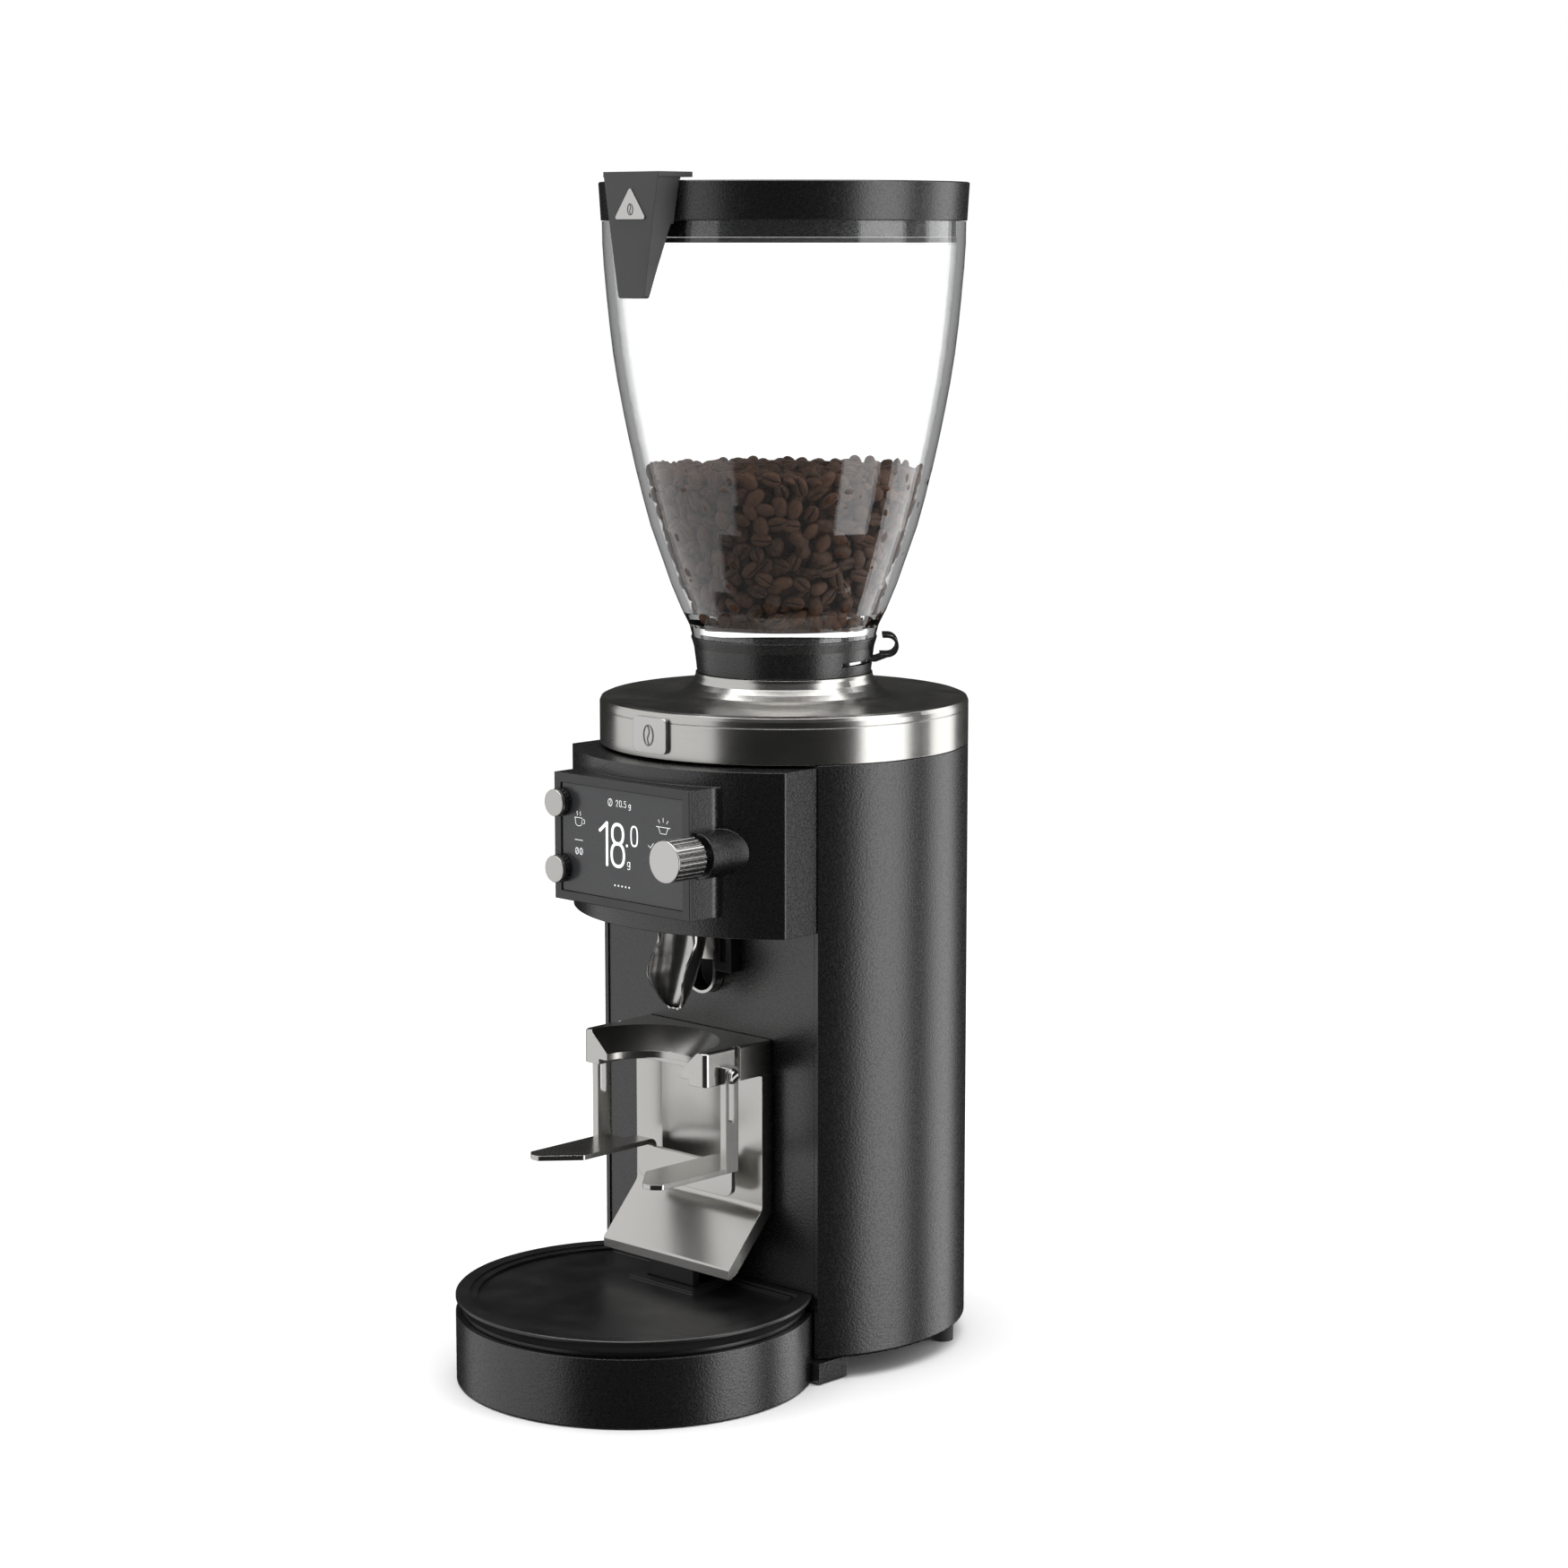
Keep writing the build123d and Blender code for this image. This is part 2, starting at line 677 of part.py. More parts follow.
def adjuster_bracket():
    z0 = upper_deck_z + upper_deck_thickness
    plate = block(50.6, 82, -26, 26, z0, z0 + 3)
    plate -= disc(body_neck_radius + gap, 0, 400)
    lug = block(52.5, 68, 14, 20, z0, knob_z + 8) + block(52.5, 68, -20, -14, z0, knob_z + 8)
    lug -= bar_y(shaft_radius + running_gap, -40, 40, knob_x, knob_z)
    keeper = tube(50.5, carrier_thread_radius + 1.5, ring_z1 + gap, ring_z1 + 3.0)
    arms = block(48, 53.0, 14, 20, ring_z1 + gap, ring_z1 + 3)
    arms += block(48, 53.0, -20, -14, ring_z1 + gap, ring_z1 + 3)
    lug = lug - disc(ring_radius + gap, 304, ring_z1 + gap) - disc(body_neck_radius + gap, 290, 304 + gap)
    tie = block(52.0, 56, 14, 20, 322, ring_z1 + 3) + block(52.0, 56, -20, -14, 322, ring_z1 + 3)
    tie -= disc(ring_radius + gap, 300, ring_z1 + gap)
    tie -= bar_y(shaft_radius + running_gap, -40, 40, knob_x, knob_z)
    return plate + lug + keeper + arms + tie


# ---------------------------------------------------------------- head, display and controls
def head_block(radius, half, bottom, top, back):
    solid = disc(radius, bottom, top)
    return solid & block(-half, half, -radius, back, bottom, top)


def display_block(half, bottom, top, front):
    return block(-half, half, front, -100, bottom, top)


def head_housing():
    back = panel_front - 0.1
    box_front = display_front + bezel_thickness
    outer = head_block(head_radius, head_half_width, head_bottom, head_top, back)
    outer = softened(outer, outer.edges().filter_by(Axis.Z).group_by(Axis.Y)[0], 2.0)
    outer += display_block(display_half_width, display_bottom, display_top, box_front)
    roots = [e for e in outer.edges().filter_by(Axis.Z)
             if abs(abs(e.center().X) - display_half_width) < 0.1 and e.center().Y > -120]
    outer = softened(outer, roots, 6.0)
    outer += bar_y(boss_radius, boss_front, -85, knob_x, knob_z) - disc(head_radius - head_wall, 0, 500)
    inner = head_block(head_radius - head_wall, head_half_width - head_wall, head_bottom + head_wall,
                       head_top - head_wall, back + 5)
    cavity = display_block(display_half_width - head_wall, display_bottom + head_wall,
                           display_top - head_wall, box_front - 1)
    keep = bar_y(boss_radius - 1.0, boss_front, -100, knob_x, knob_z)
    outer = outer - inner - (cavity - keep)
    outer -= bar_y(shaft_radius + running_gap, -200, -60, knob_x, knob_z)
    chute_hole = block(-19.5, 19.5, -106.5, back + 1, head_bottom - 1, head_bottom + head_wall + 1)
    guide_hole = block(-27, 27, -78, back + 1, head_bottom - 1, head_bottom + head_wall + 1)
    return outer - chute_hole - guide_hole


def display_bezel():
    y1 = display_front + bezel_thickness
    frame = block(-display_half_width, display_half_width, display_front, y1, display_bottom, display_top)
    frame = softened(frame, frame.faces().sort_by(Axis.Y)[0].edges(), 0.6)
    half = screen_half_width
    frame -= block(-half, half, display_front - 1, y1 + 1, screen_bottom, screen_top)
    frame -= bar_y(shaft_radius + 1.0, -150, -120, knob_x, knob_z)
    for z in button_heights:
        frame -= bar_y(3.4, -150, -120, button_x, z)
    return frame


def display_glass():
    y0 = display_front + screen_recess
    half = screen_half_width - gap
    glass = block(-half, half, y0, y0 + 1.5, screen_bottom + gap, screen_top - gap)
    for z in button_heights:
        glass -= bar_y(3.4, -150, -120, button_x, z)
    return glass


def display_module():
    y0 = display_front + screen_recess + 1.7
    return block(-42, 46, y0, y0 + 4.0, 289, 347)


def control_board():
    y0 = display_front + screen_recess + 6.0
    board = block(-53, 44, y0, y0 + 1.6, 287, 349)
    board += block(-20, 10, y0 + 1.6, y0 + 5, 300, 330) + block(18, 34, y0 + 1.6, y0 + 6, 296, 306)
    for z in button_heights:
        board += block(button_x - 2.4, button_x + 3, y0 - 0.9, y0, z - 3, z + 3)
    return board


def button_collar(z):
    collar = bar_y(8.4, -139.1, display_front, button_x, z) - bar_y(3.4, -150, -120, button_x, z)
    cutters = []
    for rib in range(20):
        turn = Rot(0, 18.0 * rib, 0)
        cutters.append(Pos(button_x, 0, z) * turn * block(8.0, 9.5, -140, -136.9, -0.5, 0.5))
    return collar - cutters


def button_collars():
    return group(*[button_collar(z) for z in button_heights])


def push_button(z):
    cap = bar_y(button_radius, button_front, -139.1 - button_travel - 0.2, button_x, z)
    cap = softened(cap, cap.edges().sort_by(Axis.Y)[0], 0.4)
    stem_end = display_front + screen_recess + 6.0 - 0.9 - button_travel - 0.15
    return cap + bar_y(3.0, -141, stem_end, button_x, z)


def grind_knob():
    knob = bar_y(knob_radius, knob_front, knob_back, knob_x, knob_z)
    knob = softened(knob, knob.edges().sort_by(Axis.Y)[0], 0.5)
    cutters = []
    for flute in range(knob_flutes):
        turn = Rot(0, 360.0 / knob_flutes * flute, 0)
        cutters.append(Pos(knob_x, 0, knob_z) * turn * Pos(knob_radius + 0.6 * flute_radius, 0, 0)
                       * bar_y(flute_radius, knob_front + 1.2, knob_back + 1, 0, 0))
    knob -= cutters
    return knob - bar_y(shaft_radius, knob_back - 12, knob_back + 5, knob_x, knob_z)


# ---------------------------------------------------------------- top ring
def top_cover():
    neck = [(neck_bore, neck_top), (53.2, neck_top), (53.4, 406.8), (55.0, 403.2), (58.0, 400.2),
            (61.5, 397.2), (66, 395.6)]
    rim = [(tower_radius - 3.2, ring_top), (tower_radius - 0.9, ring_top - 1.0),
           (tower_radius, ring_top - 3.2), (tower_radius, 388.6), (tower_radius - 0.6, 388.2),
           (tower_radius, 387.8), (tower_radius, ring_bottom)]
    under = [(tower_radius - cover_wall, ring_bottom), (tower_radius - cover_wall, ring_top - cover_wall),
             (60, ring_top - cover_wall), (50, 389.0), (neck_bore, 389.0)]
    return turned(neck + rim + under)


def ring_badge():
    badge = disc(tower_radius + badge_height, badge_bottom, badge_top) - disc(tower_radius + 0.05, 360, 400)
    middle = Pos(0, -tower_radius, (badge_bottom + badge_top) / 2)
    face = RectangleRounded(badge_width, badge_top - badge_bottom, 3.2)
    return badge & (middle * Rot(90, 0, 0) * extrude(face, 30, both=True))


def feed_throat():
    z1 = 389.0
    tube_wall = tube(34.0, 32.0, 330, z1 + 12)
    flange = tube(neck_bore + 12, 34.0, z1 - 4.2, z1 - 0.1)
    return tube_wall + flange


# ---------------------------------------------------------------- hopper
def hopper_shell():
    outer = list(hopper_outer)
    inner = [(50.4, 430.6), (51.0, 440.0)] + [(r - hopper_wall, z) for r, z in hopper_outer if z > 445]
    return turned(outer + inner[::-1])


def hopper_collar():
    outside = [(52.3, collar_bottom), (52.6, 411.0), (53.2, 416.5), (54.2, 424.0), (55.9, collar_top - 0.8),
               (55.6, collar_top)]
    lip_top = collar_top + collar_lip
    lip = [(50.2, collar_top), (50.2, lip_top), (48.8, lip_top), (48.8, collar_top)]
    inside = [(throat_radius, collar_top - 4), (throat_radius, collar_bottom)]
    ring = turned(outside + lip + inside)
    spigot = tube(neck_bore - gap, neck_bore - 4.0, 396, collar_bottom + 1)
    spigot += tube(neck_bore, throat_radius, collar_bottom, collar_bottom + 1)
    body = ring + spigot
    room = gate_half_width + 1.5
    z0, z1 = gate_z - gate_slit, gate_z + gate_thickness + gate_slit
    cavity = disc(room, z0, z1) + block(0, 80, -slit_half_width, slit_half_width, z0, z1)
    return body - Rot(0, 0, gate_angle) * cavity


def gate_slider():
    z1 = gate_z + gate_thickness
    plate = disc(gate_half_width, gate_z, z1) + block(0, 51, -gate_half_width, gate_half_width, gate_z, z1)
    plate &= disc(gate_reach, gate_z - 5, z1 + 5)
    half = curl_width / 2
    centre_z = z1 + curl_rise + curl_radius
    ramp = [(46, gate_z), (55, gate_z), (curl_reach, gate_z + curl_rise), (curl_reach, z1 + curl_rise),
            (54.5, z1), (46, z1)]
    shelf = front_profile(ramp, -half, curl_width)
    curl = bar_y(curl_radius + gate_thickness, -half, half, curl_reach, centre_z)
    curl -= bar_y(curl_radius, -half - 1, half + 1, curl_reach, centre_z)
    curl -= block(40, curl_reach, -20, 20, z1 + curl_rise, centre_z + 20)
    top_z = centre_z + curl_radius
    top = block(curl_reach - 3.0, curl_reach, -half, half, top_z, top_z + gate_thickness)
    return Rot(0, 0, gate_angle) * (plate + shelf + curl + top)


def coffee_beans():
    wall = hopper_wall + bean_clearance
    side = [(r - wall, z) for r, z in hopper_outer if 445 < z <= bean_level]
    bottom = gate_z + gate_thickness + bean_clearance
    lip = 48.8 - bean_clearance
    throat = [(0, bottom), (throat_radius - bean_clearance, bottom), (throat_radius - bean_clearance, 427.0),
              (lip, 430.8), (lip, collar_top + collar_lip + 0.3), (50.0, 440.0)]
    top = [(40, bean_level + 3.0), (0, bean_level + 4.5)]
    return turned(throat + side + top)


def hopper_lid():
    cap = turned([(0, lid_top), (lid_radius - 0.6, lid_top), (lid_radius, lid_top - 0.6),
                  (lid_bottom_radius, lid_bottom), (lid_bottom_radius - 2.6, lid_bottom),
                  (lid_radius - 3.2, lid_top - 3.2), (0, lid_top - 3.2)])
    plug = tube(hopper_mouth - 1.0, hopper_mouth - 3.6, 666.6, lid_top - 2)
    web = tube(107.0, hopper_mouth - 3.1, 676.1, 679.0)
    return cap + plug + web


def lid_gasket():
    return tube(hopper_mouth - 0.6, hopper_mouth - 4.6, 663.4, 666.4)


def lid_clip():
    half_top = 22.5
    half_low = 10.5
    outline = [(-half_top, clip_top), (half_top, clip_top), (half_low, clip_bottom), (-half_low, clip_bottom)]
    inside = [(-half_top + 2.6, clip_top), (half_top - 2.6, clip_top),
              (half_low - 1.8, clip_bottom + 6), (-half_low + 1.8, clip_bottom + 6)]
    wedge = front_profile(outline, clip_front, 18)
    wedge = softened(wedge, wedge.edges().filter_by(Axis.Y).group_by(Axis.Z)[0], 2.0)
    hollow = Pos(0, 2.4, -3.0) * front_profile(inside, clip_front, 30)
    slope = [(-119, 625), (-60, 625), (-60, 674), (-110.5, 674), (-117, 650), (-121.5, 631)]
    slope_cut = side_profile(slope, 40)
    top_plate = block(-half_top, half_top, clip_front, -98, clip_top - 3.0, clip_top)
    body = wedge - hollow - slope_cut + top_plate
    return body - disc(lid_radius + 0.2, 600, lid_top + 0.2)


def clip_badge():
    corners = [(0, 694.5), (clip_badge_width / 2, 676.5), (-clip_badge_width / 2, 676.5)]
    plate = front_profile(corners, clip_front - 0.8, 0.8)
    return softened(plate, plate.edges().filter_by(Axis.Y), 1.2)


# ---------------------------------------------------------------- rear service panel
def service_panel():
    tub = block(-34, 34, 92.5, 102.4, 19, 67) - block(-31.5, 31.5, 95, 110, 21.5, 64.5)
    tub -= block(-24.5, -0.5, 90, 100, 32.5, 53.5)
    tub -= block(9.5, 22.5, 90, 100, 31.5, 54.5)
    return tub


def power_inlet():
    body = block(-24.2, -0.8, 74, 95, 32.8, 53.2) + block(-28, 3, 95, 97.5, 29, 57)
    body -= block(-22.3, -2.7, 79, 99, 35.5, 50.5)
    for x, z in ((-17.5, 44.5), (-7.5, 44.5), (-12.5, 40.5)):
        body += block(x - 1.0, x + 1.0, 78, 94, z - 2.0, z + 2.0)
    return body


def switch_frame():
    body = block(9.8, 22.2, 76, 95, 31.8, 54.2) + block(7, 25, 95, 97.0, 29, 57)
    body -= bar_x(rocker_pin_radius + running_gap, 9, 23, rocker_pivot_y, rocker_z)
    return body - block(11.0, 21.0, 80, 99, 33.4, 52.6)


def mains_switch():
    rocker = side_profile([(-3.5, -6), (-3.5, 6), (8.0, 7.8), (6.9, 0), (8.0, -7.8)], rocker_half_width)
    rocker += bar_x(rocker_pin_radius, -rocker_half_width - 1.4, rocker_half_width + 1.4, 0, 0)
    return Pos(rocker_x, rocker_pivot_y, rocker_z) * Rot(rocker_tilt, 0, 0) * rocker


PIECES = {
    "base_casting": base_casting,
    "base_bottom_plate": base_bottom_plate,
    "rubber_feet": rubber_feet,
    "load_cell": load_cell,
    "scale_post": scale_post,
    "tray": tray,
    "weigh_plate": weigh_plate,
    "cradle": cradle,
    "fork": fork,
    "height_screws": height_screws,
    "outlet_spout": outlet_spout,
    "outlet_flap": outlet_flap,
    "outlet_guide": outlet_guide,
    "chute": chute,
    "rear_shell": rear_shell,
    "front_panel": front_panel,
    "tower_base_plate": tower_base_plate,
    "frame_rods": frame_rods,
    "motor_deck": motor_deck,
    "upper_deck": upper_deck,
    "motor_housing": motor_housing,
    "motor_stator": motor_stator,
    "motor_rotor": motor_rotor,
    "rotor_shaft": rotor_shaft,
    "cooling_fan": cooling_fan,
    "motor_bearings": motor_bearings,
    "start_capacitor": start_capacitor,
    "grinder_body": grinder_body,
    "upper_burr_carrier": upper_burr_carrier,
    "upper_burr": upper_burr,
    "lower_burr": lower_burr,
    "lower_burr_carrier": lower_burr_carrier,
    "adjusting_ring": adjusting_ring,
    "worm_shaft": worm_shaft,
    "adjuster_bracket": adjuster_bracket,
    "head_housing": head_housing,
    "display_bezel": display_bezel,
    "display_glass": display_glass,
    "display_module": display_module,
    "control_board": control_board,
    "button_collars": button_collars,
    "upper_button": lambda: push_button(button_heights[0]),
    "lower_button": lambda: push_button(button_heights[1]),
    "grind_knob": grind_knob,
    "top_cover": top_cover,
    "ring_badge": ring_badge,
    "feed_throat": feed_throat,
    "hopper_shell": hopper_shell,
    "hopper_collar": hopper_collar,
    "gate_slider": gate_slider,
    "coffee_beans": coffee_beans,
    "hopper_lid": hopper_lid,
    "lid_gasket": lid_gasket,
    "lid_clip": lid_clip,
    "clip_badge": clip_badge,
    "service_panel": service_panel,
    "power_inlet": power_inlet,
    "switch_frame": switch_frame,
    "mains_switch": mains_switch,
}

for piece_name, draw in PIECES.items():
    save(piece_name, draw())
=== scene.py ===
"""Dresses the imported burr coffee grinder: finishes, beans, chute, screen, badges and a small studio."""
import math
import random

import bpy
import numpy as np
from mathutils import Matrix, Vector


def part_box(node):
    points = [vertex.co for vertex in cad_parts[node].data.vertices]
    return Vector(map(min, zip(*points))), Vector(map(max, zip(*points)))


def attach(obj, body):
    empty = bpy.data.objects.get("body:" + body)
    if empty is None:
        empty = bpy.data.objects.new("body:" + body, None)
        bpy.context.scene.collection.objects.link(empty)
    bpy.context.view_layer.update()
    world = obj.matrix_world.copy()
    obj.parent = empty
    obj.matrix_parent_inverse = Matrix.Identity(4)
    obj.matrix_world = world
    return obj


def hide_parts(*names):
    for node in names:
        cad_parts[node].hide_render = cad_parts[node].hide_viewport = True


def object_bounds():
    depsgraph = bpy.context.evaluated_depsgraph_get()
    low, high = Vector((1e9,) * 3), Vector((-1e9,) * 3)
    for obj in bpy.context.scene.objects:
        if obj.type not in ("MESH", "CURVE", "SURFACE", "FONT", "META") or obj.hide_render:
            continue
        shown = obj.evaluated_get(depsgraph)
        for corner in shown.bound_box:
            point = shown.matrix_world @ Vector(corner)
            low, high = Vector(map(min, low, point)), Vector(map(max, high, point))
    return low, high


bl_info = {
    "name": "Burr Coffee Grinder",
    "version": (1, 0, 0),
    "blender": (4, 5, 0),
    "location": "3D View > Sidebar > Grinder",
    "description": "Finishes, beans, screen and studio for a burr coffee grinder",
    "category": "Object",
}

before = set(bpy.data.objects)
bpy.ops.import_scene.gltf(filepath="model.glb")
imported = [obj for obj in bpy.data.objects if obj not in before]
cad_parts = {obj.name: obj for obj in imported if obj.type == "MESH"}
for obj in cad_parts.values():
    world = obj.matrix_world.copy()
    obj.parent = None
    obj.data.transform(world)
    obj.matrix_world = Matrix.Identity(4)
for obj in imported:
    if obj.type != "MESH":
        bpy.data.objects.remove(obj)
cad_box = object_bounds()

MM = 0.001

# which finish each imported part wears
TEXTURED_BLACK = ("base_casting", "rear_shell", "front_panel", "head_housing", "hopper_collar")
SMOOTH_BLACK = ("scale_post", "tray", "outlet_guide", "button_collars", "service_panel", "switch_frame")
SATIN_STEEL = ("weigh_plate", "cradle", "fork", "outlet_flap")
POLISHED_STEEL = ("height_screws", "outlet_spout", "chute", "motor_bearings", "gate_slider")
PLAIN_STEEL = ("base_bottom_plate", "tower_base_plate", "frame_rods", "motor_rotor", "rotor_shaft",
               "worm_shaft")
CAST_ALUMINIUM = ("load_cell", "motor_deck", "upper_deck", "motor_housing", "grinder_body",
                  "upper_burr_carrier", "lower_burr_carrier", "adjuster_bracket", "feed_throat")
RUBBER = ("rubber_feet", "lid_gasket")
GREY_PLASTIC = ("cooling_fan", "start_capacitor", "display_module", "lid_clip")
BURR_STEEL = ("upper_burr", "lower_burr")
BUTTON_STEEL = ("upper_button", "lower_button")
BRIGHT_STEEL = ("grind_knob",)
GLOSS_BLACK = ("power_inlet", "mains_switch")

EVEN_GRAIN = (1.0, 1.0, 1.0)
UPRIGHT_GRAIN = (1.0, 1.0, 0.1)
DUST_COLOUR = (0.30, 0.28, 0.25)
EDGE_GAIN = 3.0


# ---------------------------------------------------------------- settings
class GrinderFinishSettings(bpy.types.PropertyGroup):
    """Colours and grain of the outer finishes."""
    casing_colour: bpy.props.FloatVectorProperty(
        name="Casing", description="Colour of the textured black casing", subtype="COLOR", size=3,
        min=0.0, max=1.0, default=(0.0045, 0.0045, 0.005))
    plastic_colour: bpy.props.FloatVectorProperty(
        name="Plastic", description="Colour of the smooth black mouldings", subtype="COLOR", size=3,
        min=0.0, max=1.0, default=(0.0045, 0.0045, 0.005))
    steel_colour: bpy.props.FloatVectorProperty(
        name="Satin steel", description="Colour of the satin sheet steel", subtype="COLOR", size=3,
        min=0.0, max=1.0, default=(0.62, 0.61, 0.585))
    bright_colour: bpy.props.FloatVectorProperty(
        name="Bright steel", description="Colour of polished steel", subtype="COLOR", size=3,
        min=0.0, max=1.0, default=(0.66, 0.65, 0.64))
    grain_size: bpy.props.FloatProperty(
        name="Grain size", description="Width of one cell of the leather grain",
        default=1.3 * MM, min=0.1 * MM, max=5 * MM, unit="LENGTH")
    edge_softness: bpy.props.FloatProperty(
        name="Edge softness", description="Radius of the moulded edges", default=0.8 * MM,
        min=0.0, max=3 * MM, unit="LENGTH")


class GrinderBeanSettings(bpy.types.PropertyGroup):
    """Size and packing of the coffee beans."""
    length: bpy.props.FloatProperty(
        name="Length", description="Length of a bean", default=12.4 * MM,
        min=6 * MM, max=16 * MM, unit="LENGTH")
    spacing: bpy.props.FloatProperty(
        name="Spacing", description="Distance between neighbouring beans", default=9.2 * MM,
        min=5 * MM, max=14 * MM, unit="LENGTH")
    seed: bpy.props.IntProperty(name="Seed", description="Arrangement of the beans", default=7, min=0)
    roast: bpy.props.FloatVectorProperty(
        name="Roast", description="Colour of the roasted beans", subtype="COLOR", size=3,
        min=0.0, max=1.0, default=(0.085, 0.040, 0.021))


class GrinderScreenSettings(bpy.types.PropertyGroup):
    """What the screen shows."""
    glow: bpy.props.FloatVectorProperty(
        name="Read-out", description="Colour of the lit figures", subtype="COLOR", size=3,
        min=0.0, max=1.0, default=(0.86, 0.88, 0.9))
    strength: bpy.props.FloatProperty(
        name="Brightness", description="Brightness of the lit figures", default=0.95, min=0.0, max=10.0)
    stroke: bpy.props.FloatProperty(
        name="Stroke", description="Width of the large figures' strokes", default=1.9 * MM,
        min=0.2 * MM, max=4 * MM, unit="LENGTH")


class GrinderStudioSettings(bpy.types.PropertyGroup):
    """Camera and light."""
    lens: bpy.props.FloatProperty(
        name="Lens", description="Focal length of the camera, in millimetres", default=82.9,
        min=20.0, max=200.0)
    turn: bpy.props.FloatProperty(
        name="Turn", description="Direction the camera looks, measured from straight behind the front",
        default=math.radians(43.965), subtype="ANGLE", unit="ROTATION")
    tilt: bpy.props.FloatProperty(
        name="Tilt", description="How far the camera looks down", default=math.radians(8.592),
        subtype="ANGLE", unit="ROTATION")
    place: bpy.props.FloatVectorProperty(
        name="Camera place", description="Where the camera stands", size=3, subtype="TRANSLATION",
        unit="LENGTH", default=(1.4989, -1.4932, 0.6658))
    panel_glow: bpy.props.FloatProperty(
        name="Panel light", description="Brightness of the soft panels' surface", default=1.0, min=0.0)
    room_light: bpy.props.FloatProperty(
        name="Room light", description="Strength of the even light of the room", default=0.02, min=0.0)
    floor_light: bpy.props.FloatProperty(
        name="Floor light", description="Strength of the wide light from above", default=3.7, min=0.0)


# ---------------------------------------------------------------- measures and mesh helpers
def object_middle():
    """The middle of the CAD model's box."""
    return (Vector(cad_box[0]) + Vector(cad_box[1])) / 2


def tenth(height):
    """A height to the nearest tenth of a millimetre."""
    return round(height, 4)


def add_piece(name, body, verts, faces, material, smooth=True, replaces=()):
    """Makes a mesh piece, gives it its finish and lets it ride on a body."""
    mesh = bpy.data.meshes.new(name)
    mesh.from_pydata([tuple(v) for v in verts], [], [tuple(f) for f in faces])
    mesh.update()
    mesh.polygons.foreach_set("use_smooth", [smooth] * len(mesh.polygons))
    mesh.materials.append(material)
    piece = bpy.data.objects.new(name, mesh)
    bpy.context.scene.collection.objects.link(piece)
    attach(piece, body)
    if replaces:
        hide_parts(*replaces)
    return piece


def lathe(profile, centre, steps=160):
    """Vertices and faces of a closed outline, given as (radius, height), turned round a vertical axis."""
    verts, faces = [], []
    count = len(profile)
    for i in range(steps):
        angle = 2 * math.pi * i / steps
        c, s = math.cos(angle), math.sin(angle)
        verts += [(centre[0] + r * c, centre[1] + r * s, z) for r, z in profile]
    for i in range(steps):
        near, far = i * count, (i + 1) % steps * count
        for j in range(count):
            k = (j + 1) % count
            faces.append((near + j, far + j, far + k, near + k))
    return verts, faces


# ---------------------------------------------------------------- shader helpers
def group_socket(tree, name, direction, kind="NodeSocketFloat", default=None):
    socket = tree.interface.new_socket(name, in_out=direction, socket_type=kind)
    if default is not None:
        socket.default_value = default


def new_group(name, inputs, outputs):
    tree = bpy.data.node_groups.new(name, "ShaderNodeTree")
    for label, kind, default in inputs:
        group_socket(tree, label, "INPUT", kind, default)
    for label, kind in outputs:
        group_socket(tree, label, "OUTPUT", kind)
    return tree, tree.nodes.new("NodeGroupInput"), tree.nodes.new("NodeGroupOutput")


def add_node(tree, kind, links=None, **settings):
    """A shader node; settings go on its properties or free inputs, links joins inputs to other outputs."""
    node = tree.nodes.new(kind)
    for key, value in settings.items():
        if hasattr(node, key):
            setattr(node, key, value)
        else:
            node.inputs[key.replace("_", " ")].default_value = value
    for key, output in (links or {}).items():
        tree.links.new(output, node.inputs[key])
    return node


def noise(tree, where, scale, detail):
    """Noise over the object's own coordinates."""
    place = {"Vector": where.outputs["Object"]}
    return add_node(tree, "ShaderNodeTexNoise", place, Scale=scale, Detail=detail)


def math_node(tree, operation, first, second=None, clamp=False):
    node = tree.nodes.new("ShaderNodeMath")
    node.operation = operation
    node.use_clamp = clamp
    for index, value in enumerate((first, second)):
        if value is None:
            continue
        if isinstance(value, (int, float)):
            node.inputs[index].default_value = value
        else:
            tree.links.new(value, node.inputs[index])
    return node.outputs[0]


def mapped(tree, value, low, high, from_low=0.0, from_high=1.0):
    node = tree.nodes.new("ShaderNodeMapRange")
    tree.links.new(value, node.inputs["Value"])
    node.inputs["From Min"].default_value = from_low
    node.inputs["From Max"].default_value = from_high
    node.inputs["To Min"].default_value = low
    node.inputs["To Max"].default_value = high
    return node.outputs["Result"]


def mixed_colour(tree, mask, first, second):
    node = tree.nodes.new("ShaderNodeMix")
    node.data_type = "RGBA"
    tree.links.new(mask, node.inputs["Factor"])
    for socket, value in ((node.inputs["A"], first), (node.inputs["B"], second)):
        if isinstance(value, bpy.types.NodeSocket):
            tree.links.new(value, socket)
        else:
            socket.default_value = (*value[:3], 1.0)
    return node.outputs["Result"]


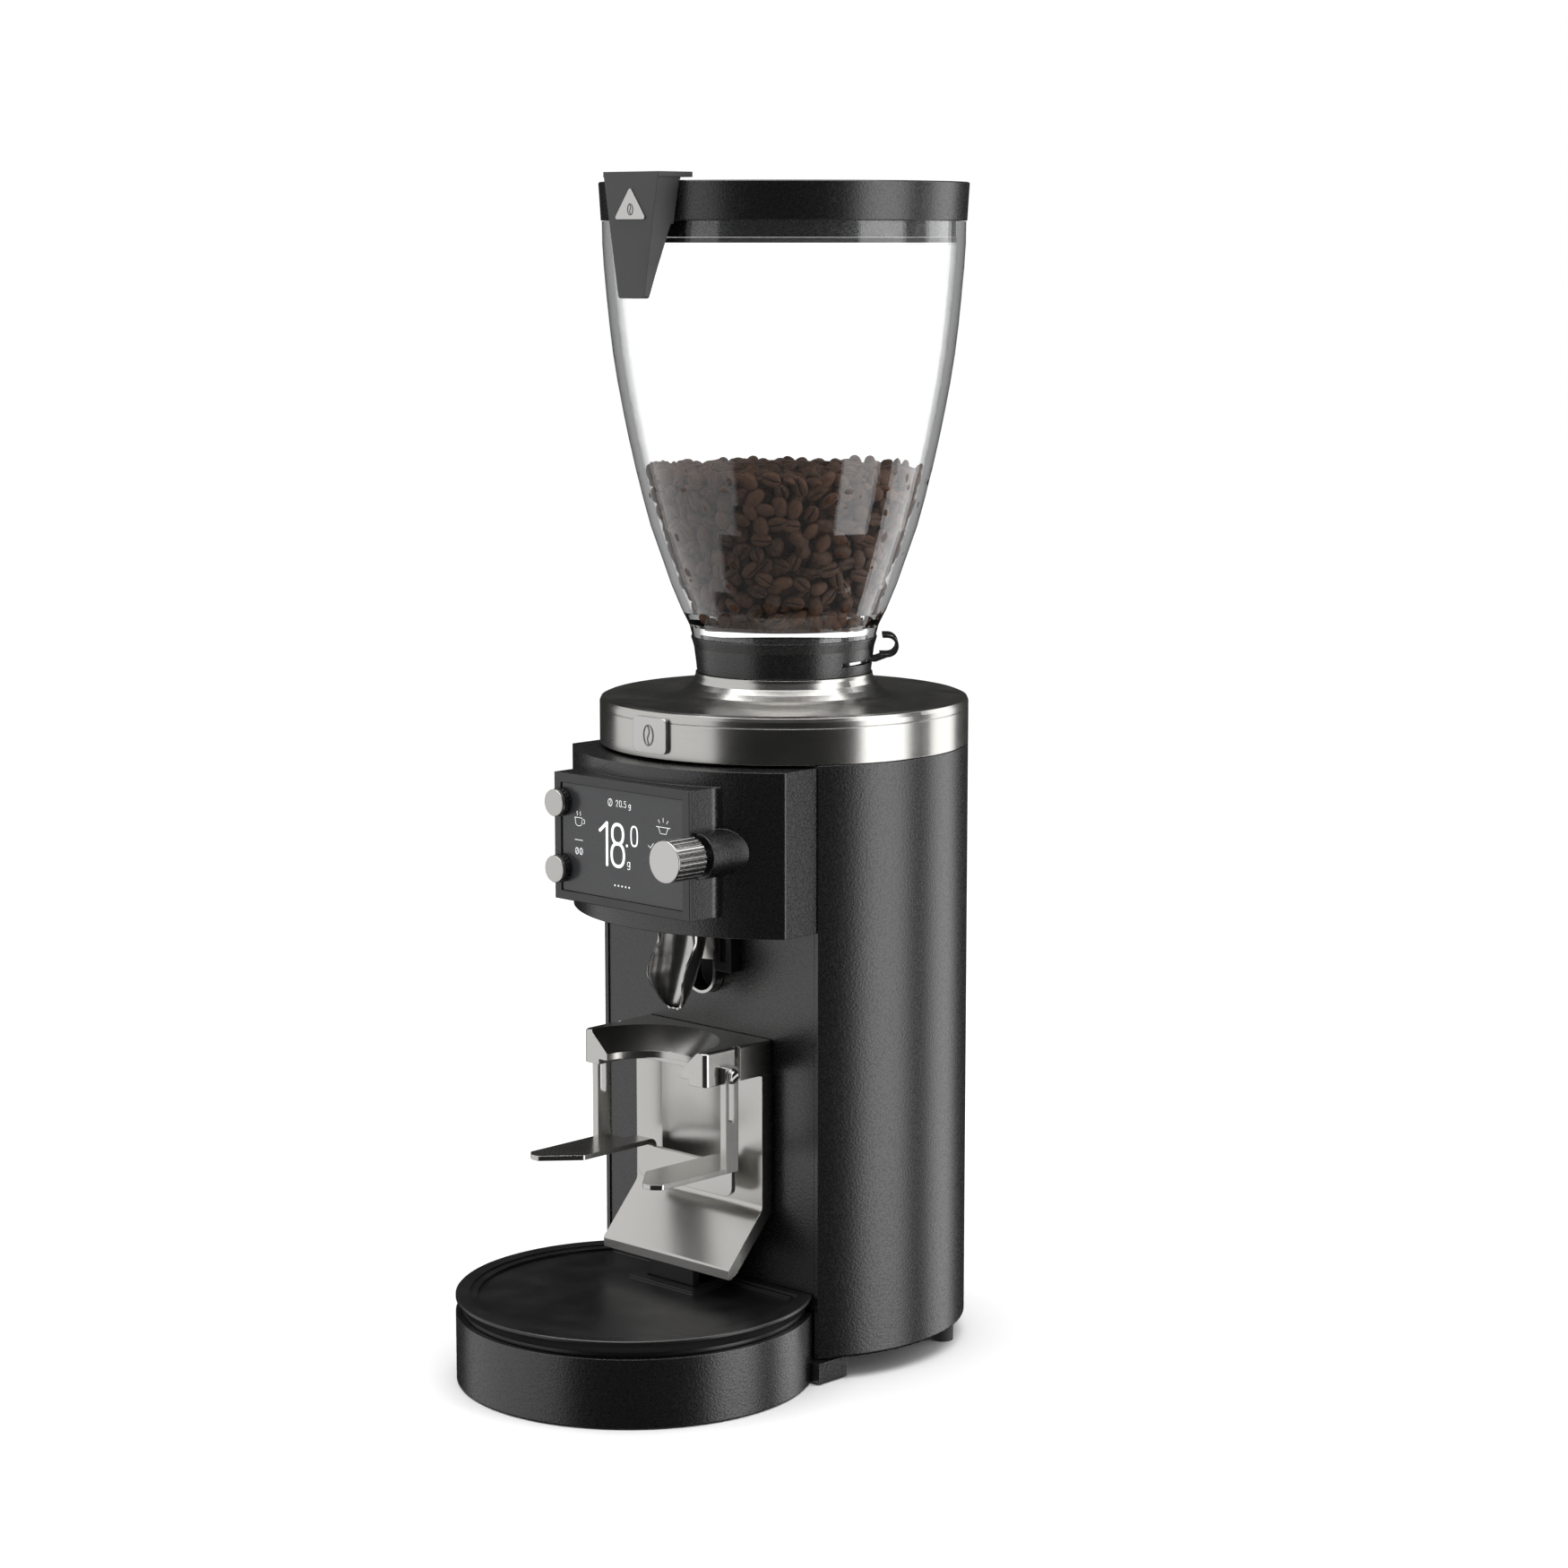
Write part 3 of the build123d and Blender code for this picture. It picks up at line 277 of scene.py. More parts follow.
def build_soft_edge_group():
    """Rounds the shading of hard edges and gives a mask along them."""
    tree, into, out = new_group(
        "Soft edges",
        [("Radius", "NodeSocketFloat", 0.0006), ("Gain", "NodeSocketFloat", 4.0)],
        [("Normal", "NodeSocketVector"), ("Edge", "NodeSocketFloat")])
    bevel = tree.nodes.new("ShaderNodeBevel")
    bevel.samples = 6
    tree.links.new(into.outputs["Radius"], bevel.inputs["Radius"])
    geometry = tree.nodes.new("ShaderNodeNewGeometry")
    dot = tree.nodes.new("ShaderNodeVectorMath")
    dot.operation = "DOT_PRODUCT"
    tree.links.new(bevel.outputs["Normal"], dot.inputs[0])
    tree.links.new(geometry.outputs["Normal"], dot.inputs[1])
    away = math_node(tree, "SUBTRACT", 1.0, dot.outputs["Value"])
    edge = math_node(tree, "MULTIPLY", away, into.outputs["Gain"], clamp=True)
    tree.links.new(bevel.outputs["Normal"], out.inputs["Normal"])
    tree.links.new(edge, out.inputs["Edge"])
    return tree


def build_leather_group():
    """Fine pebbled grain of a textured moulding or a wrinkle lacquer."""
    tree, into, out = new_group(
        "Pebble grain",
        [("Cells per metre", "NodeSocketFloat", 1100.0)],
        [("Height", "NodeSocketFloat"), ("Pit", "NodeSocketFloat")])
    where = tree.nodes.new("ShaderNodeTexCoord")
    warp = noise(tree, where, 420.0, 2.0)
    moved = tree.nodes.new("ShaderNodeVectorMath")
    moved.operation = "MULTIPLY_ADD"
    tree.links.new(warp.outputs["Color"], moved.inputs[0])
    moved.inputs[1].default_value = (0.0007, 0.0007, 0.0007)
    tree.links.new(where.outputs["Object"], moved.inputs[2])
    cells = tree.nodes.new("ShaderNodeTexVoronoi")
    cells.feature = "SMOOTH_F1"
    tree.links.new(moved.outputs[0], cells.inputs["Vector"])
    tree.links.new(into.outputs["Cells per metre"], cells.inputs["Scale"])
    cells.inputs["Smoothness"].default_value = 0.35
    fine = noise(tree, where, 3200.0, 1.0)
    bump = math_node(tree, "SUBTRACT", 1.0, cells.outputs["Distance"])
    fine_part = math_node(tree, "MULTIPLY", fine.outputs["Fac"], 0.08)
    tree.links.new(math_node(tree, "ADD", bump, fine_part), out.inputs["Height"])
    pit = mapped(tree, cells.outputs["Distance"], 0.0, 1.0, 0.35, 0.75)
    tree.links.new(pit, out.inputs["Pit"])
    return tree


def build_brush_group():
    """Fine parallel lines of a brushed or rolled sheet; Stretch is small along the lines."""
    tree, into, out = new_group(
        "Brushed lines",
        [("Stretch", "NodeSocketVector", (1.0, 1.0, 0.02)), ("Lines per metre", "NodeSocketFloat", 2200.0)],
        [("Line", "NodeSocketFloat"), ("Cloud", "NodeSocketFloat")])
    where = tree.nodes.new("ShaderNodeTexCoord")
    scaled = tree.nodes.new("ShaderNodeVectorMath")
    scaled.operation = "MULTIPLY"
    tree.links.new(where.outputs["Object"], scaled.inputs[0])
    tree.links.new(into.outputs["Stretch"], scaled.inputs[1])
    lines = add_node(tree, "ShaderNodeTexNoise", {"Vector": scaled.outputs[0],
                                                 "Scale": into.outputs["Lines per metre"]}, Detail=3.0)
    cloud = noise(tree, where, 38.0, 4.0)
    tree.links.new(lines.outputs["Fac"], out.inputs["Line"])
    tree.links.new(cloud.outputs["Fac"], out.inputs["Cloud"])
    return tree


def build_dust_group():
    """Faint dust that settles on faces that look up, in soft patches."""
    tree, into, out = new_group(
        "Settled dust",
        [("Amount", "NodeSocketFloat", 0.25), ("Patch scale", "NodeSocketFloat", 60.0)],
        [("Dust", "NodeSocketFloat")])
    geometry = tree.nodes.new("ShaderNodeNewGeometry")
    split = tree.nodes.new("ShaderNodeSeparateXYZ")
    tree.links.new(geometry.outputs["Normal"], split.inputs[0])
    up = mapped(tree, split.outputs["Z"], 0.0, 1.0, 0.3, 1.0)
    where = tree.nodes.new("ShaderNodeTexCoord")
    patches = add_node(tree, "ShaderNodeTexNoise", {"Vector": where.outputs["Object"],
                                                   "Scale": into.outputs["Patch scale"]}, Detail=5.0)
    specks = noise(tree, where, 2600.0, 2.0)
    fleck = mapped(tree, specks.outputs["Fac"], 0.0, 1.0, 0.55, 0.75)
    soft = mapped(tree, patches.outputs["Fac"], 0.15, 1.0, 0.35, 0.75)
    both = math_node(tree, "MULTIPLY", math_node(tree, "MULTIPLY", soft, up), fleck)
    tree.links.new(math_node(tree, "MULTIPLY", both, into.outputs["Amount"], clamp=True), out.inputs["Dust"])
    return tree


def effect(name, builder):
    """The shader node group of that name, built the first time it is asked for."""
    found = bpy.data.node_groups.get(name)
    return found if found else builder()


def place_group(tree, group, **values):
    node = tree.nodes.new("ShaderNodeGroup")
    node.node_tree = group
    for key, value in values.items():
        node.inputs[key.replace("_", " ")].default_value = value
    return node


def soft_edges(tree, radius):
    return place_group(tree, effect("Soft edges", build_soft_edge_group), Radius=radius, Gain=EDGE_GAIN)


def brushed(tree, stretch, lines):
    brush = effect("Brushed lines", build_brush_group)
    return place_group(tree, brush, Stretch=stretch, Lines_per_metre=lines)


def edge_highlight_and_dust(tree, edges, colour, edge_highlight_lift, dust, patch_scale):
    """A moulding's colour, paler along its edges as a painted edge highlight, and paler under settled dust.
    """
    # painted edge highlight: the colour is lifted where the edge mask is high
    lifted = tuple(min(1.0, c + edge_highlight_lift) for c in colour)
    highlit_edges = mixed_colour(tree, edges.outputs["Edge"], colour, lifted)
    settled = effect("Settled dust", build_dust_group)
    dusting = place_group(tree, settled, Amount=dust, Patch_scale=patch_scale)
    return mixed_colour(tree, dusting.outputs["Dust"], highlit_edges, DUST_COLOUR)


def new_material(name, **shader_values):
    """A material with one Principled shader; values go on the shader's own sockets."""
    material = bpy.data.materials.new(name)
    material.use_nodes = True
    tree = material.node_tree
    shader = next(n for n in tree.nodes if n.type == "BSDF_PRINCIPLED")
    for key, value in shader_values.items():
        socket = shader.inputs[key.replace("_", " ")]
        is_colour = isinstance(value, (tuple, list)) and len(value) == 3
        socket.default_value = (*value, 1.0) if is_colour else value
    return material, tree, shader


def add_relief(tree, shader, height, distance, strength=1.0, normal=None):
    bump = tree.nodes.new("ShaderNodeBump")
    bump.inputs["Distance"].default_value = distance
    bump.inputs["Strength"].default_value = strength
    tree.links.new(height, bump.inputs["Height"])
    if normal is not None:
        tree.links.new(normal, bump.inputs["Normal"])
    tree.links.new(bump.outputs["Normal"], shader.inputs["Normal"])


# ---------------------------------------------------------------- finishes
def grained_finish(name, colour, grain_size, radius, roughness=(0.26, 0.36), depth=0.07 * MM, edge_highlight_lift=0.02,
                   dust=0.01):
    """Black moulding with a pebble grain, a painted highlight that brightens its edges, and a little dust."""
    material, tree, shader = new_material(name, Specular_IOR_Level=1.0)
    edges = soft_edges(tree, radius)
    grain = place_group(tree, effect("Pebble grain", build_leather_group), Cells_per_metre=1.0 / grain_size)
    dusty = edge_highlight_and_dust(tree, edges, colour, edge_highlight_lift, dust, 45.0)
    tree.links.new(dusty, shader.inputs["Base Color"])
    tree.links.new(mapped(tree, grain.outputs["Pit"], *roughness), shader.inputs["Roughness"])
    add_relief(tree, shader, grain.outputs["Height"], depth, 1.0, edges.outputs["Normal"])
    return material


def moulded_finish(name, colour, radius, roughness=(0.28, 0.4)):
    """Smooth moulding with a trace of spark-eroded texture and a painted highlight along its edges."""
    material, tree, shader = new_material(name, Specular_IOR_Level=0.8)
    edges = soft_edges(tree, radius)
    brush = brushed(tree, EVEN_GRAIN, 2400.0)
    dusty = edge_highlight_and_dust(tree, edges, colour, 0.015, 0.01, 60.0)
    tree.links.new(dusty, shader.inputs["Base Color"])
    tree.links.new(mapped(tree, brush.outputs["Cloud"], *roughness, 0.3, 0.7), shader.inputs["Roughness"])
    add_relief(tree, shader, brush.outputs["Line"], 0.004 * MM, 0.7, edges.outputs["Normal"])
    return material


def metal_finish(name, colour, radius, roughness, stretch=(1.0, 1.0, 0.02), lines=2200.0, depth=0.0015 * MM,
                 shade=0.95):
    """Metal with fine lines, uneven polish and a painted highlight that brightens its edges."""
    material, tree, shader = new_material(name, Metallic=1.0)
    edges = soft_edges(tree, radius)
    brush = brushed(tree, stretch, lines)
    darker = tuple(c * shade for c in colour)
    toned = mixed_colour(tree, mapped(tree, brush.outputs["Line"], 0.0, 1.0, 0.3, 0.7), darker, colour)
    # painted edge highlight: the colour is lifted by 0.1 along the edges
    bright = tuple(min(1.0, c + 0.1) for c in colour)
    highlit_edges = mixed_colour(tree, edges.outputs["Edge"], toned, bright)
    tree.links.new(highlit_edges, shader.inputs["Base Color"])
    uneven = math_node(tree, "ADD", math_node(tree, "MULTIPLY", brush.outputs["Line"], 0.5),
                       math_node(tree, "MULTIPLY", brush.outputs["Cloud"], 0.5))
    tree.links.new(mapped(tree, uneven, *roughness, 0.35, 0.65), shader.inputs["Roughness"])
    add_relief(tree, shader, brush.outputs["Line"], depth, 0.8, edges.outputs["Normal"])
    return material


def copper_finish():
    """Enamelled copper winding."""
    material, tree, shader = new_material("Copper winding", Metallic=0.9)
    where = tree.nodes.new("ShaderNodeTexCoord")
    wave = add_node(tree, "ShaderNodeTexWave", {"Vector": where.outputs["Object"]}, Scale=300.0,
                    Distortion=1.5)
    tone = mixed_colour(tree, wave.outputs["Fac"], (0.35, 0.12, 0.05), (0.72, 0.30, 0.14))
    tree.links.new(tone, shader.inputs["Base Color"])
    tree.links.new(mapped(tree, wave.outputs["Fac"], 0.3, 0.5), shader.inputs["Roughness"])
    add_relief(tree, shader, wave.outputs["Fac"], 0.0003)
    return material


def board_finish():
    """Green circuit board with a hint of tracks."""
    material, tree, shader = new_material("Circuit board", Coat_Weight=0.3)
    where = tree.nodes.new("ShaderNodeTexCoord")
    cells = tree.nodes.new("ShaderNodeTexVoronoi")
    cells.distance = "CHEBYCHEV"
    cells.inputs["Scale"].default_value = 220.0
    tree.links.new(where.outputs["Object"], cells.inputs["Vector"])
    tone = mixed_colour(tree, mapped(tree, cells.outputs["Distance"], 0.0, 1.0, 0.3, 0.45),
                        (0.02, 0.12, 0.05), (0.01, 0.06, 0.025))
    tree.links.new(tone, shader.inputs["Base Color"])
    tree.links.new(mapped(tree, cells.outputs["Distance"], 0.3, 0.5), shader.inputs["Roughness"])
    return material


def rubber_finish():
    return grained_finish("Soft rubber", (0.02, 0.02, 0.02), 0.5 * MM, 0.4 * MM, (0.7, 0.85), 0.03 * MM, 0.01,
                          dust=0.4)


def clear_finish():
    """Clear moulded plastic, faintly marked where beans rub it."""
    material, tree, shader = new_material(
        "Clear hopper plastic", Base_Color=(0.97, 0.975, 0.98), Transmission_Weight=1.0, IOR=1.45,
        Metallic=0.0)
    cloud = brushed(tree, (1.0, 1.0, 0.25), 260.0)
    tree.links.new(mapped(tree, cloud.outputs["Line"], 0.0, 0.008, 0.45, 0.8), shader.inputs["Roughness"])
    path = tree.nodes.new("ShaderNodeLightPath")
    shade = math_node(tree, "MULTIPLY", path.outputs["Is Shadow Ray"], 0.92)
    tree.links.new(math_node(tree, "SUBTRACT", 1.0, shade), shader.inputs["Alpha"])
    return material


def bean_finish(roast):
    """Roasted bean: oily brown skin, a painted shade darkening the crease, each bean a little different."""
    material, tree, shader = new_material("Roasted bean", Specular_IOR_Level=0.25)
    geometry = tree.nodes.new("ShaderNodeNewGeometry")
    where = tree.nodes.new("ShaderNodeTexCoord")
    mottle = noise(tree, where, 520.0, 5.0)
    crease = add_node(tree, "ShaderNodeAttribute", attribute_name="crease")
    dark = tuple(c * 0.42 for c in roast)
    light = tuple(min(1.0, c * 1.7) for c in roast)
    own = mixed_colour(tree, geometry.outputs["Random Per Island"], dark, roast)
    skin = mixed_colour(tree, mapped(tree, mottle.outputs["Fac"], 0.0, 0.55, 0.45, 0.75), own, light)
    # painted shade: the crease groove is darkened nearly to black
    line = mixed_colour(tree, crease.outputs["Fac"], skin, (0.008, 0.004, 0.002))
    tree.links.new(line, shader.inputs["Base Color"])
    tree.links.new(mapped(tree, mottle.outputs["Fac"], 0.42, 0.6, 0.3, 0.7), shader.inputs["Roughness"])
    add_relief(tree, shader, mottle.outputs["Fac"], 0.00025, 0.6)
    return material


def screen_finish():
    """Smoked cover over the screen."""
    material, tree, shader = new_material("Smoked screen cover", Coat_Weight=0.4, Coat_Roughness=0.1)
    brush = brushed(tree, EVEN_GRAIN, 90.0)
    tone = mixed_colour(tree, mapped(tree, brush.outputs["Cloud"], 0.0, 1.0, 0.3, 0.7),
                        (0.030, 0.031, 0.033), (0.036, 0.037, 0.039))
    tree.links.new(tone, shader.inputs["Base Color"])
    tree.links.new(mapped(tree, brush.outputs["Cloud"], 0.2, 0.3, 0.3, 0.7), shader.inputs["Roughness"])
    return material


def figure_finish(colour, strength):
    """Lit figures of the read-out, a touch uneven like a small matrix screen."""
    material, tree, shader = new_material("Lit figures", Base_Color=(0.6, 0.6, 0.6), Roughness=0.6,
                                          Emission_Strength=strength)
    cells = brushed(tree, EVEN_GRAIN, 1500.0)
    dim = tuple(c * 0.8 for c in colour)
    tone = mixed_colour(tree, mapped(tree, cells.outputs["Line"], 0.0, 1.0, 0.35, 0.65), dim, tuple(colour))
    tree.links.new(tone, shader.inputs["Emission Color"])
    return material


def wear(node_names, material):
    """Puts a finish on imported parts, on every material slot that they have."""
    for name in node_names:
        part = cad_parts[name]
        if not part.material_slots:
            part.data.materials.append(material)
        for slot in part.material_slots:
            slot.material = material


# ---------------------------------------------------------------- beans
BEAN_ROWS = 12
FEWEST_BEANS = 300
HEAP_HEADROOM = 6.0 * MM
LOWEST_BEAN = 13.4 * MM
CORE_FOOT = 6.4 * MM
CORE_HEADROOM = 5.0 * MM
CORE_INSET = 9.5 * MM


def bean_ring():
    """Points round one bean, as (side, height, crease): domed back, flat face with a groove."""
    back = [(math.cos(math.pi * k / 8), math.sin(math.pi * k / 8), 0.0) for k in range(9)]
    face = []
    for side in (-0.93, -0.72, -0.42, -0.18, -0.06, 0.0, 0.06, 0.18, 0.42, 0.72, 0.93):
        groove = math.exp(-(side / 0.09) ** 2)
        face.append((side, -math.sqrt(1 - abs(side) ** 3) + 0.62 * groove, groove))
    return back + face


def bean_shape(length):
    """One bean: vertices, faces and the crease mask."""
    half_length, half_width, back, face = length / 2, length * 0.36, length * 0.25, length * 0.15
    ring_points = bean_ring()
    columns = len(ring_points)
    verts, mask = [], []
    for i in range(BEAN_ROWS + 1):
        along = math.pi * i / BEAN_ROWS
        ring = max(math.sin(along), 0.0)
        x = -half_length * math.cos(along)
        bend = 0.16 * half_width * math.sin(2 * math.pi * x / length) * ring
        for side, height, groove in ring_points:
            z = (back if height > 0 and groove == 0.0 else face) * height * ring ** 0.8
            verts.append((x, half_width * ring ** 0.85 * side + bend * groove, z))
            mask.append(groove * ring ** 0.5)
    faces = []
    for i in range(BEAN_ROWS):
        for j in range(columns):
            k = (j + 1) % columns
            faces.append((i * columns + j, (i + 1) * columns + j, (i + 1) * columns + k, i * columns + k))
    return np.array(verts), faces, mask


def spread_points(rng, count, draw, spacing, tries=14):
    """Points picked one by one, each as far as can be from the earlier ones, until they come too close."""
    points = [draw(rng)]
    placed = [np.array(points[0][0])]
    for _ in range(count - 1):
        best, best_gap = None, 0.0
        known = np.array(placed)
        for _ in range(tries):
            candidate = draw(rng)
            gap = np.min(np.linalg.norm(known - np.array(candidate[0]), axis=1))
            if gap > best_gap:
                best, best_gap = candidate, gap
        if best_gap < spacing:
            continue
        points.append(best)
        placed.append(np.array(best[0]))
    return points


def hopper_inside():
    """The inner outline of the hopper shell as (height, radius) pairs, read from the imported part."""
    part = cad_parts["hopper_shell"]
    low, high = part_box("hopper_shell")
    centre = ((low.x + high.x) / 2, (low.y + high.y) / 2)
    rings = {}
    for vertex in part.data.vertices:
        radius = math.hypot(vertex.co.x - centre[0], vertex.co.y - centre[1])
        height = round(vertex.co.z, 4)
        rings.setdefault(height, []).append(radius)
    pairs = sorted((z, min(rs)) for z, rs in rings.items())
    return centre, pairs


def radius_at(pairs, z):
    heights = [p[0] for p in pairs]
    radii = [p[1] for p in pairs]
    return float(np.interp(z, heights, radii))


def turn_to(normal, spin, tilt_a, tilt_b):
    """Rotation that lays a bean's face against a direction, spun and tipped a little."""
    base = Vector(normal).to_track_quat("Z", "X").to_matrix()
    tipped = Matrix.Rotation(tilt_a, 3, "X") @ Matrix.Rotation(tilt_b, 3, "Y")
    return base @ Matrix.Rotation(spin, 3, "Z") @ tipped


def bean_places(settings):
    """Place and turn of each bean: against the wall, just behind it, and over the top of the heap."""
    rng = random.Random(settings.seed)
    centre, inside = hopper_inside()
    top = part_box("coffee_beans")[1].z - HEAP_HEADROOM
    bottom = tenth(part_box("hopper_shell")[0].z + LOWEST_BEAN)
    places = []

    def wall_draw(depth):
        def draw(source):
            angle = source.uniform(0, 2 * math.pi)
            z = math.sqrt(source.uniform(bottom ** 2, top ** 2))
            radius = radius_at(inside, z) - depth - source.uniform(0, 0.6 * MM)
            out = Vector((math.cos(angle), math.sin(angle), -0.32)).normalized()
            return ((centre[0] + radius * math.cos(angle), centre[1] + radius * math.sin(angle), z), out)
        return draw

    def top_draw(drop):
        def draw(source):
            angle = source.uniform(0, 2 * math.pi)
            edge = radius_at(inside, top) - 5.5 * MM
            radius = edge * math.sqrt(source.uniform(0, 1))
            rise = 4.0 * MM * (1 - radius / edge)
            place = (centre[0] + radius * math.cos(angle), centre[1] + radius * math.sin(angle),
                     top - drop + rise + source.uniform(-1.0, 1.0) * MM)
            return (place, Vector((source.uniform(-0.5, 0.5), source.uniform(-0.5, 0.5), 1.0)).normalized())
        return draw

    for draw, count, gap in ((wall_draw(3.4 * MM), 900, settings.spacing * 0.86),
                             (wall_draw(7.8 * MM), 620, settings.spacing),
                             (top_draw(1.5 * MM), 420, settings.spacing * 0.86),
                             (top_draw(6.0 * MM), 220, settings.spacing * 1.05)):
        for place, out in spread_points(rng, count, draw, gap):
            flip = math.pi if rng.random() < 0.5 else 0.0
            turn = turn_to(out, rng.uniform(0, 2 * math.pi), flip + rng.gauss(0, 0.28), rng.gauss(0, 0.22))
            places.append((place, turn, rng.uniform(0.9, 1.08)))
    return places, centre, inside, top


def bean_core(centre, inside, top):
    """Dark solid behind the outer layers of beans."""
    foot = tenth(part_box("hopper_shell")[0].z + CORE_FOOT)
    levels = [foot + (top - foot - CORE_HEADROOM) * i / 8 for i in range(9)]
    side = [(radius_at(inside, z) - CORE_INSET, z) for z in levels]
    return lathe([(0.0, levels[0])] + side + [(0.0, levels[-1])], centre, 48)


class GRINDER_OT_fill_hopper(bpy.types.Operator):
    """Fill the hopper with roasted coffee beans"""
    bl_idname = "grinder.fill_hopper"
    bl_label = "Fill Hopper"

    def execute(self, context):
        settings = context.scene.grinder_beans
        shape, shape_faces, shape_mask = bean_shape(settings.length)
        places, centre, inside, top = bean_places(settings)
        if len(places) < FEWEST_BEANS:
            raise RuntimeError("too few beans fitted into the hopper")
        verts, faces, mask = [], [], []
        for place, turn, size in places:
            offset = len(verts)
            moved = shape @ np.array(turn).T * size + np.array(place)
            verts.extend(moved.tolist())
            faces.extend(tuple(i + offset for i in face) for face in shape_faces)
            mask.extend(shape_mask)
        core_verts, core_faces = bean_core(centre, inside, top)
        offset = len(verts)
        verts.extend(core_verts)
        faces.extend(tuple(i + offset for i in face) for face in core_faces)
        mask.extend([0.0] * len(core_verts))
        material = bean_finish(settings.roast)
        piece = add_piece("bean_fill", "hopper", verts, faces, material, True, ("coffee_beans",))
        layer = piece.data.attributes.new("crease", "FLOAT", "POINT")
        layer.data.foreach_set("value", np.array(mask, np.float32))
        return {"FINISHED"}


# ---------------------------------------------------------------- screen
FEWEST_FACES = 100


def ribbon(points, width, closed):
    """Left and right edges of a stroke of even width along points in a plane."""
    half = width / 2
    count = len(points)
    left, right = [], []
    for i, (x, z) in enumerate(points):
        before = points[(i - 1) % count] if closed or i > 0 else (x, z)
        after = points[(i + 1) % count] if closed or i < count - 1 else (x, z)
        dx, dz = after[0] - before[0], after[1] - before[1]
        size = math.hypot(dx, dz) or 1.0
        nx, nz = -dz / size, dx / size
        left.append((x + nx * half, z + nz * half))
        right.append((x - nx * half, z - nz * half))
    return left, right


def stroke_mesh(points, width, y0, y1, closed=False):
    """Flat raised stroke between two depths, with round ends where it is open."""
    left, right = ribbon(points, width, closed)
    count = len(points)
    verts, faces = [], []
    for x, z in left:
        verts += [(x, y0, z), (x, y1, z)]
    for x, z in right:
        verts += [(x, y0, z), (x, y1, z)]
    span = count if closed else count - 1
    for i in range(span):
        j = (i + 1) % count
        la, lb, ra, rb = 2 * i, 2 * j, 2 * (count + i), 2 * (count + j)
        faces += [(la, ra, rb, lb), (la + 1, lb + 1, rb + 1, ra + 1),
                  (la, lb, lb + 1, la + 1), (ra, ra + 1, rb + 1, rb)]
    if not closed:
        for end, (x, z) in ((0, points[0]), (count - 1, points[-1])):
            disc_verts, disc_faces = dot_mesh((x, z), width / 2, y0, y1)
            offset = len(verts)
            verts += disc_verts
            faces += [tuple(k + offset for k in face) for face in disc_faces]
    return verts, faces


def dot_mesh(centre, radius, y0, y1, steps=20):
    verts, faces = [], []
    for i in range(steps):
        angle = 2 * math.pi * i / steps
        x = centre[0] + radius * math.cos(angle)
        z = centre[1] + radius * math.sin(angle)
        verts += [(x, y0, z), (x, y1, z)]
    for i in range(steps):
        j = (i + 1) % steps
        faces.append((2 * i, 2 * j, 2 * j + 1, 2 * i + 1))
    faces.append(tuple(2 * i for i in range(steps)))
    faces.append(tuple(2 * i + 1 for i in reversed(range(steps))))
    return verts, faces


def oval(cx, cz, half_x, half_z, power=1.0, steps=40, start=0.0, sweep=2 * math.pi):
    """Points round a rounded loop; a power below 1 squares it up."""
    closed = abs(sweep - 2 * math.pi) < 1e-6
    count = steps if closed else steps + 1
    points = []
    for i in range(count):
        angle = start + sweep * i / steps
        c, s = math.cos(angle), math.sin(angle)
        x = cx + half_x * math.copysign(abs(c) ** power, c)
        points.append((x, cz + half_z * math.copysign(abs(s) ** power, s)))
    return points


def figure_one(x, z, height):
    """Strokes of a one: its foot on z, its stem at the right of its width."""
    width = height * 0.24
    tip = (x + width, z + height)
    return [([(x, z + height * 0.80), tip], False), ([tip, (x + width, z)], False)]


def figure_eight(x, z, height):
    width = height * 0.42
    upper = height * 0.46
    return [(oval(x + width / 2, z + height - upper / 2, width * 0.44, upper / 2, 0.85), True),
            (oval(x + width / 2, z + (height - upper) / 2, width / 2, (height - upper) / 2, 0.85), True)]


def figure_zero(x, z, height):
    width = height * 0.46
    return [(oval(x + width / 2, z + height / 2, width / 2, height / 2, 0.72), True)]


def figure_two(x, z, height):
    width = height * 0.46
    bow = oval(x + width / 2, z + height * 0.74, width / 2, height * 0.26, 1.0, 14, math.pi, -math.pi * 1.15)
    return [(bow + [(x, z), (x + width, z)], False)]


def figure_five(x, z, height):
    width = height * 0.46
    bow = oval(x + width / 2, z + height * 0.32, width / 2, height * 0.32, 0.9, 16,
               math.pi * 0.72, -math.pi * 1.45)
    return [([(x + width, z + height), (x + width * 0.1, z + height)] + bow, False)]


def letter_g(x, z, height):
    width = height * 0.8
    bowl = oval(x + width / 2, z + height / 2, width / 2, height / 2, 0.9)
    tail = [(x + width, z + height), (x + width, z - height * 0.35)]
    tail += oval(x + width / 2, z - height * 0.35, width / 2, height * 0.35, 1.0, 8, 0.0, -math.pi * 0.8)
    return [(bowl, True), (tail, False)]


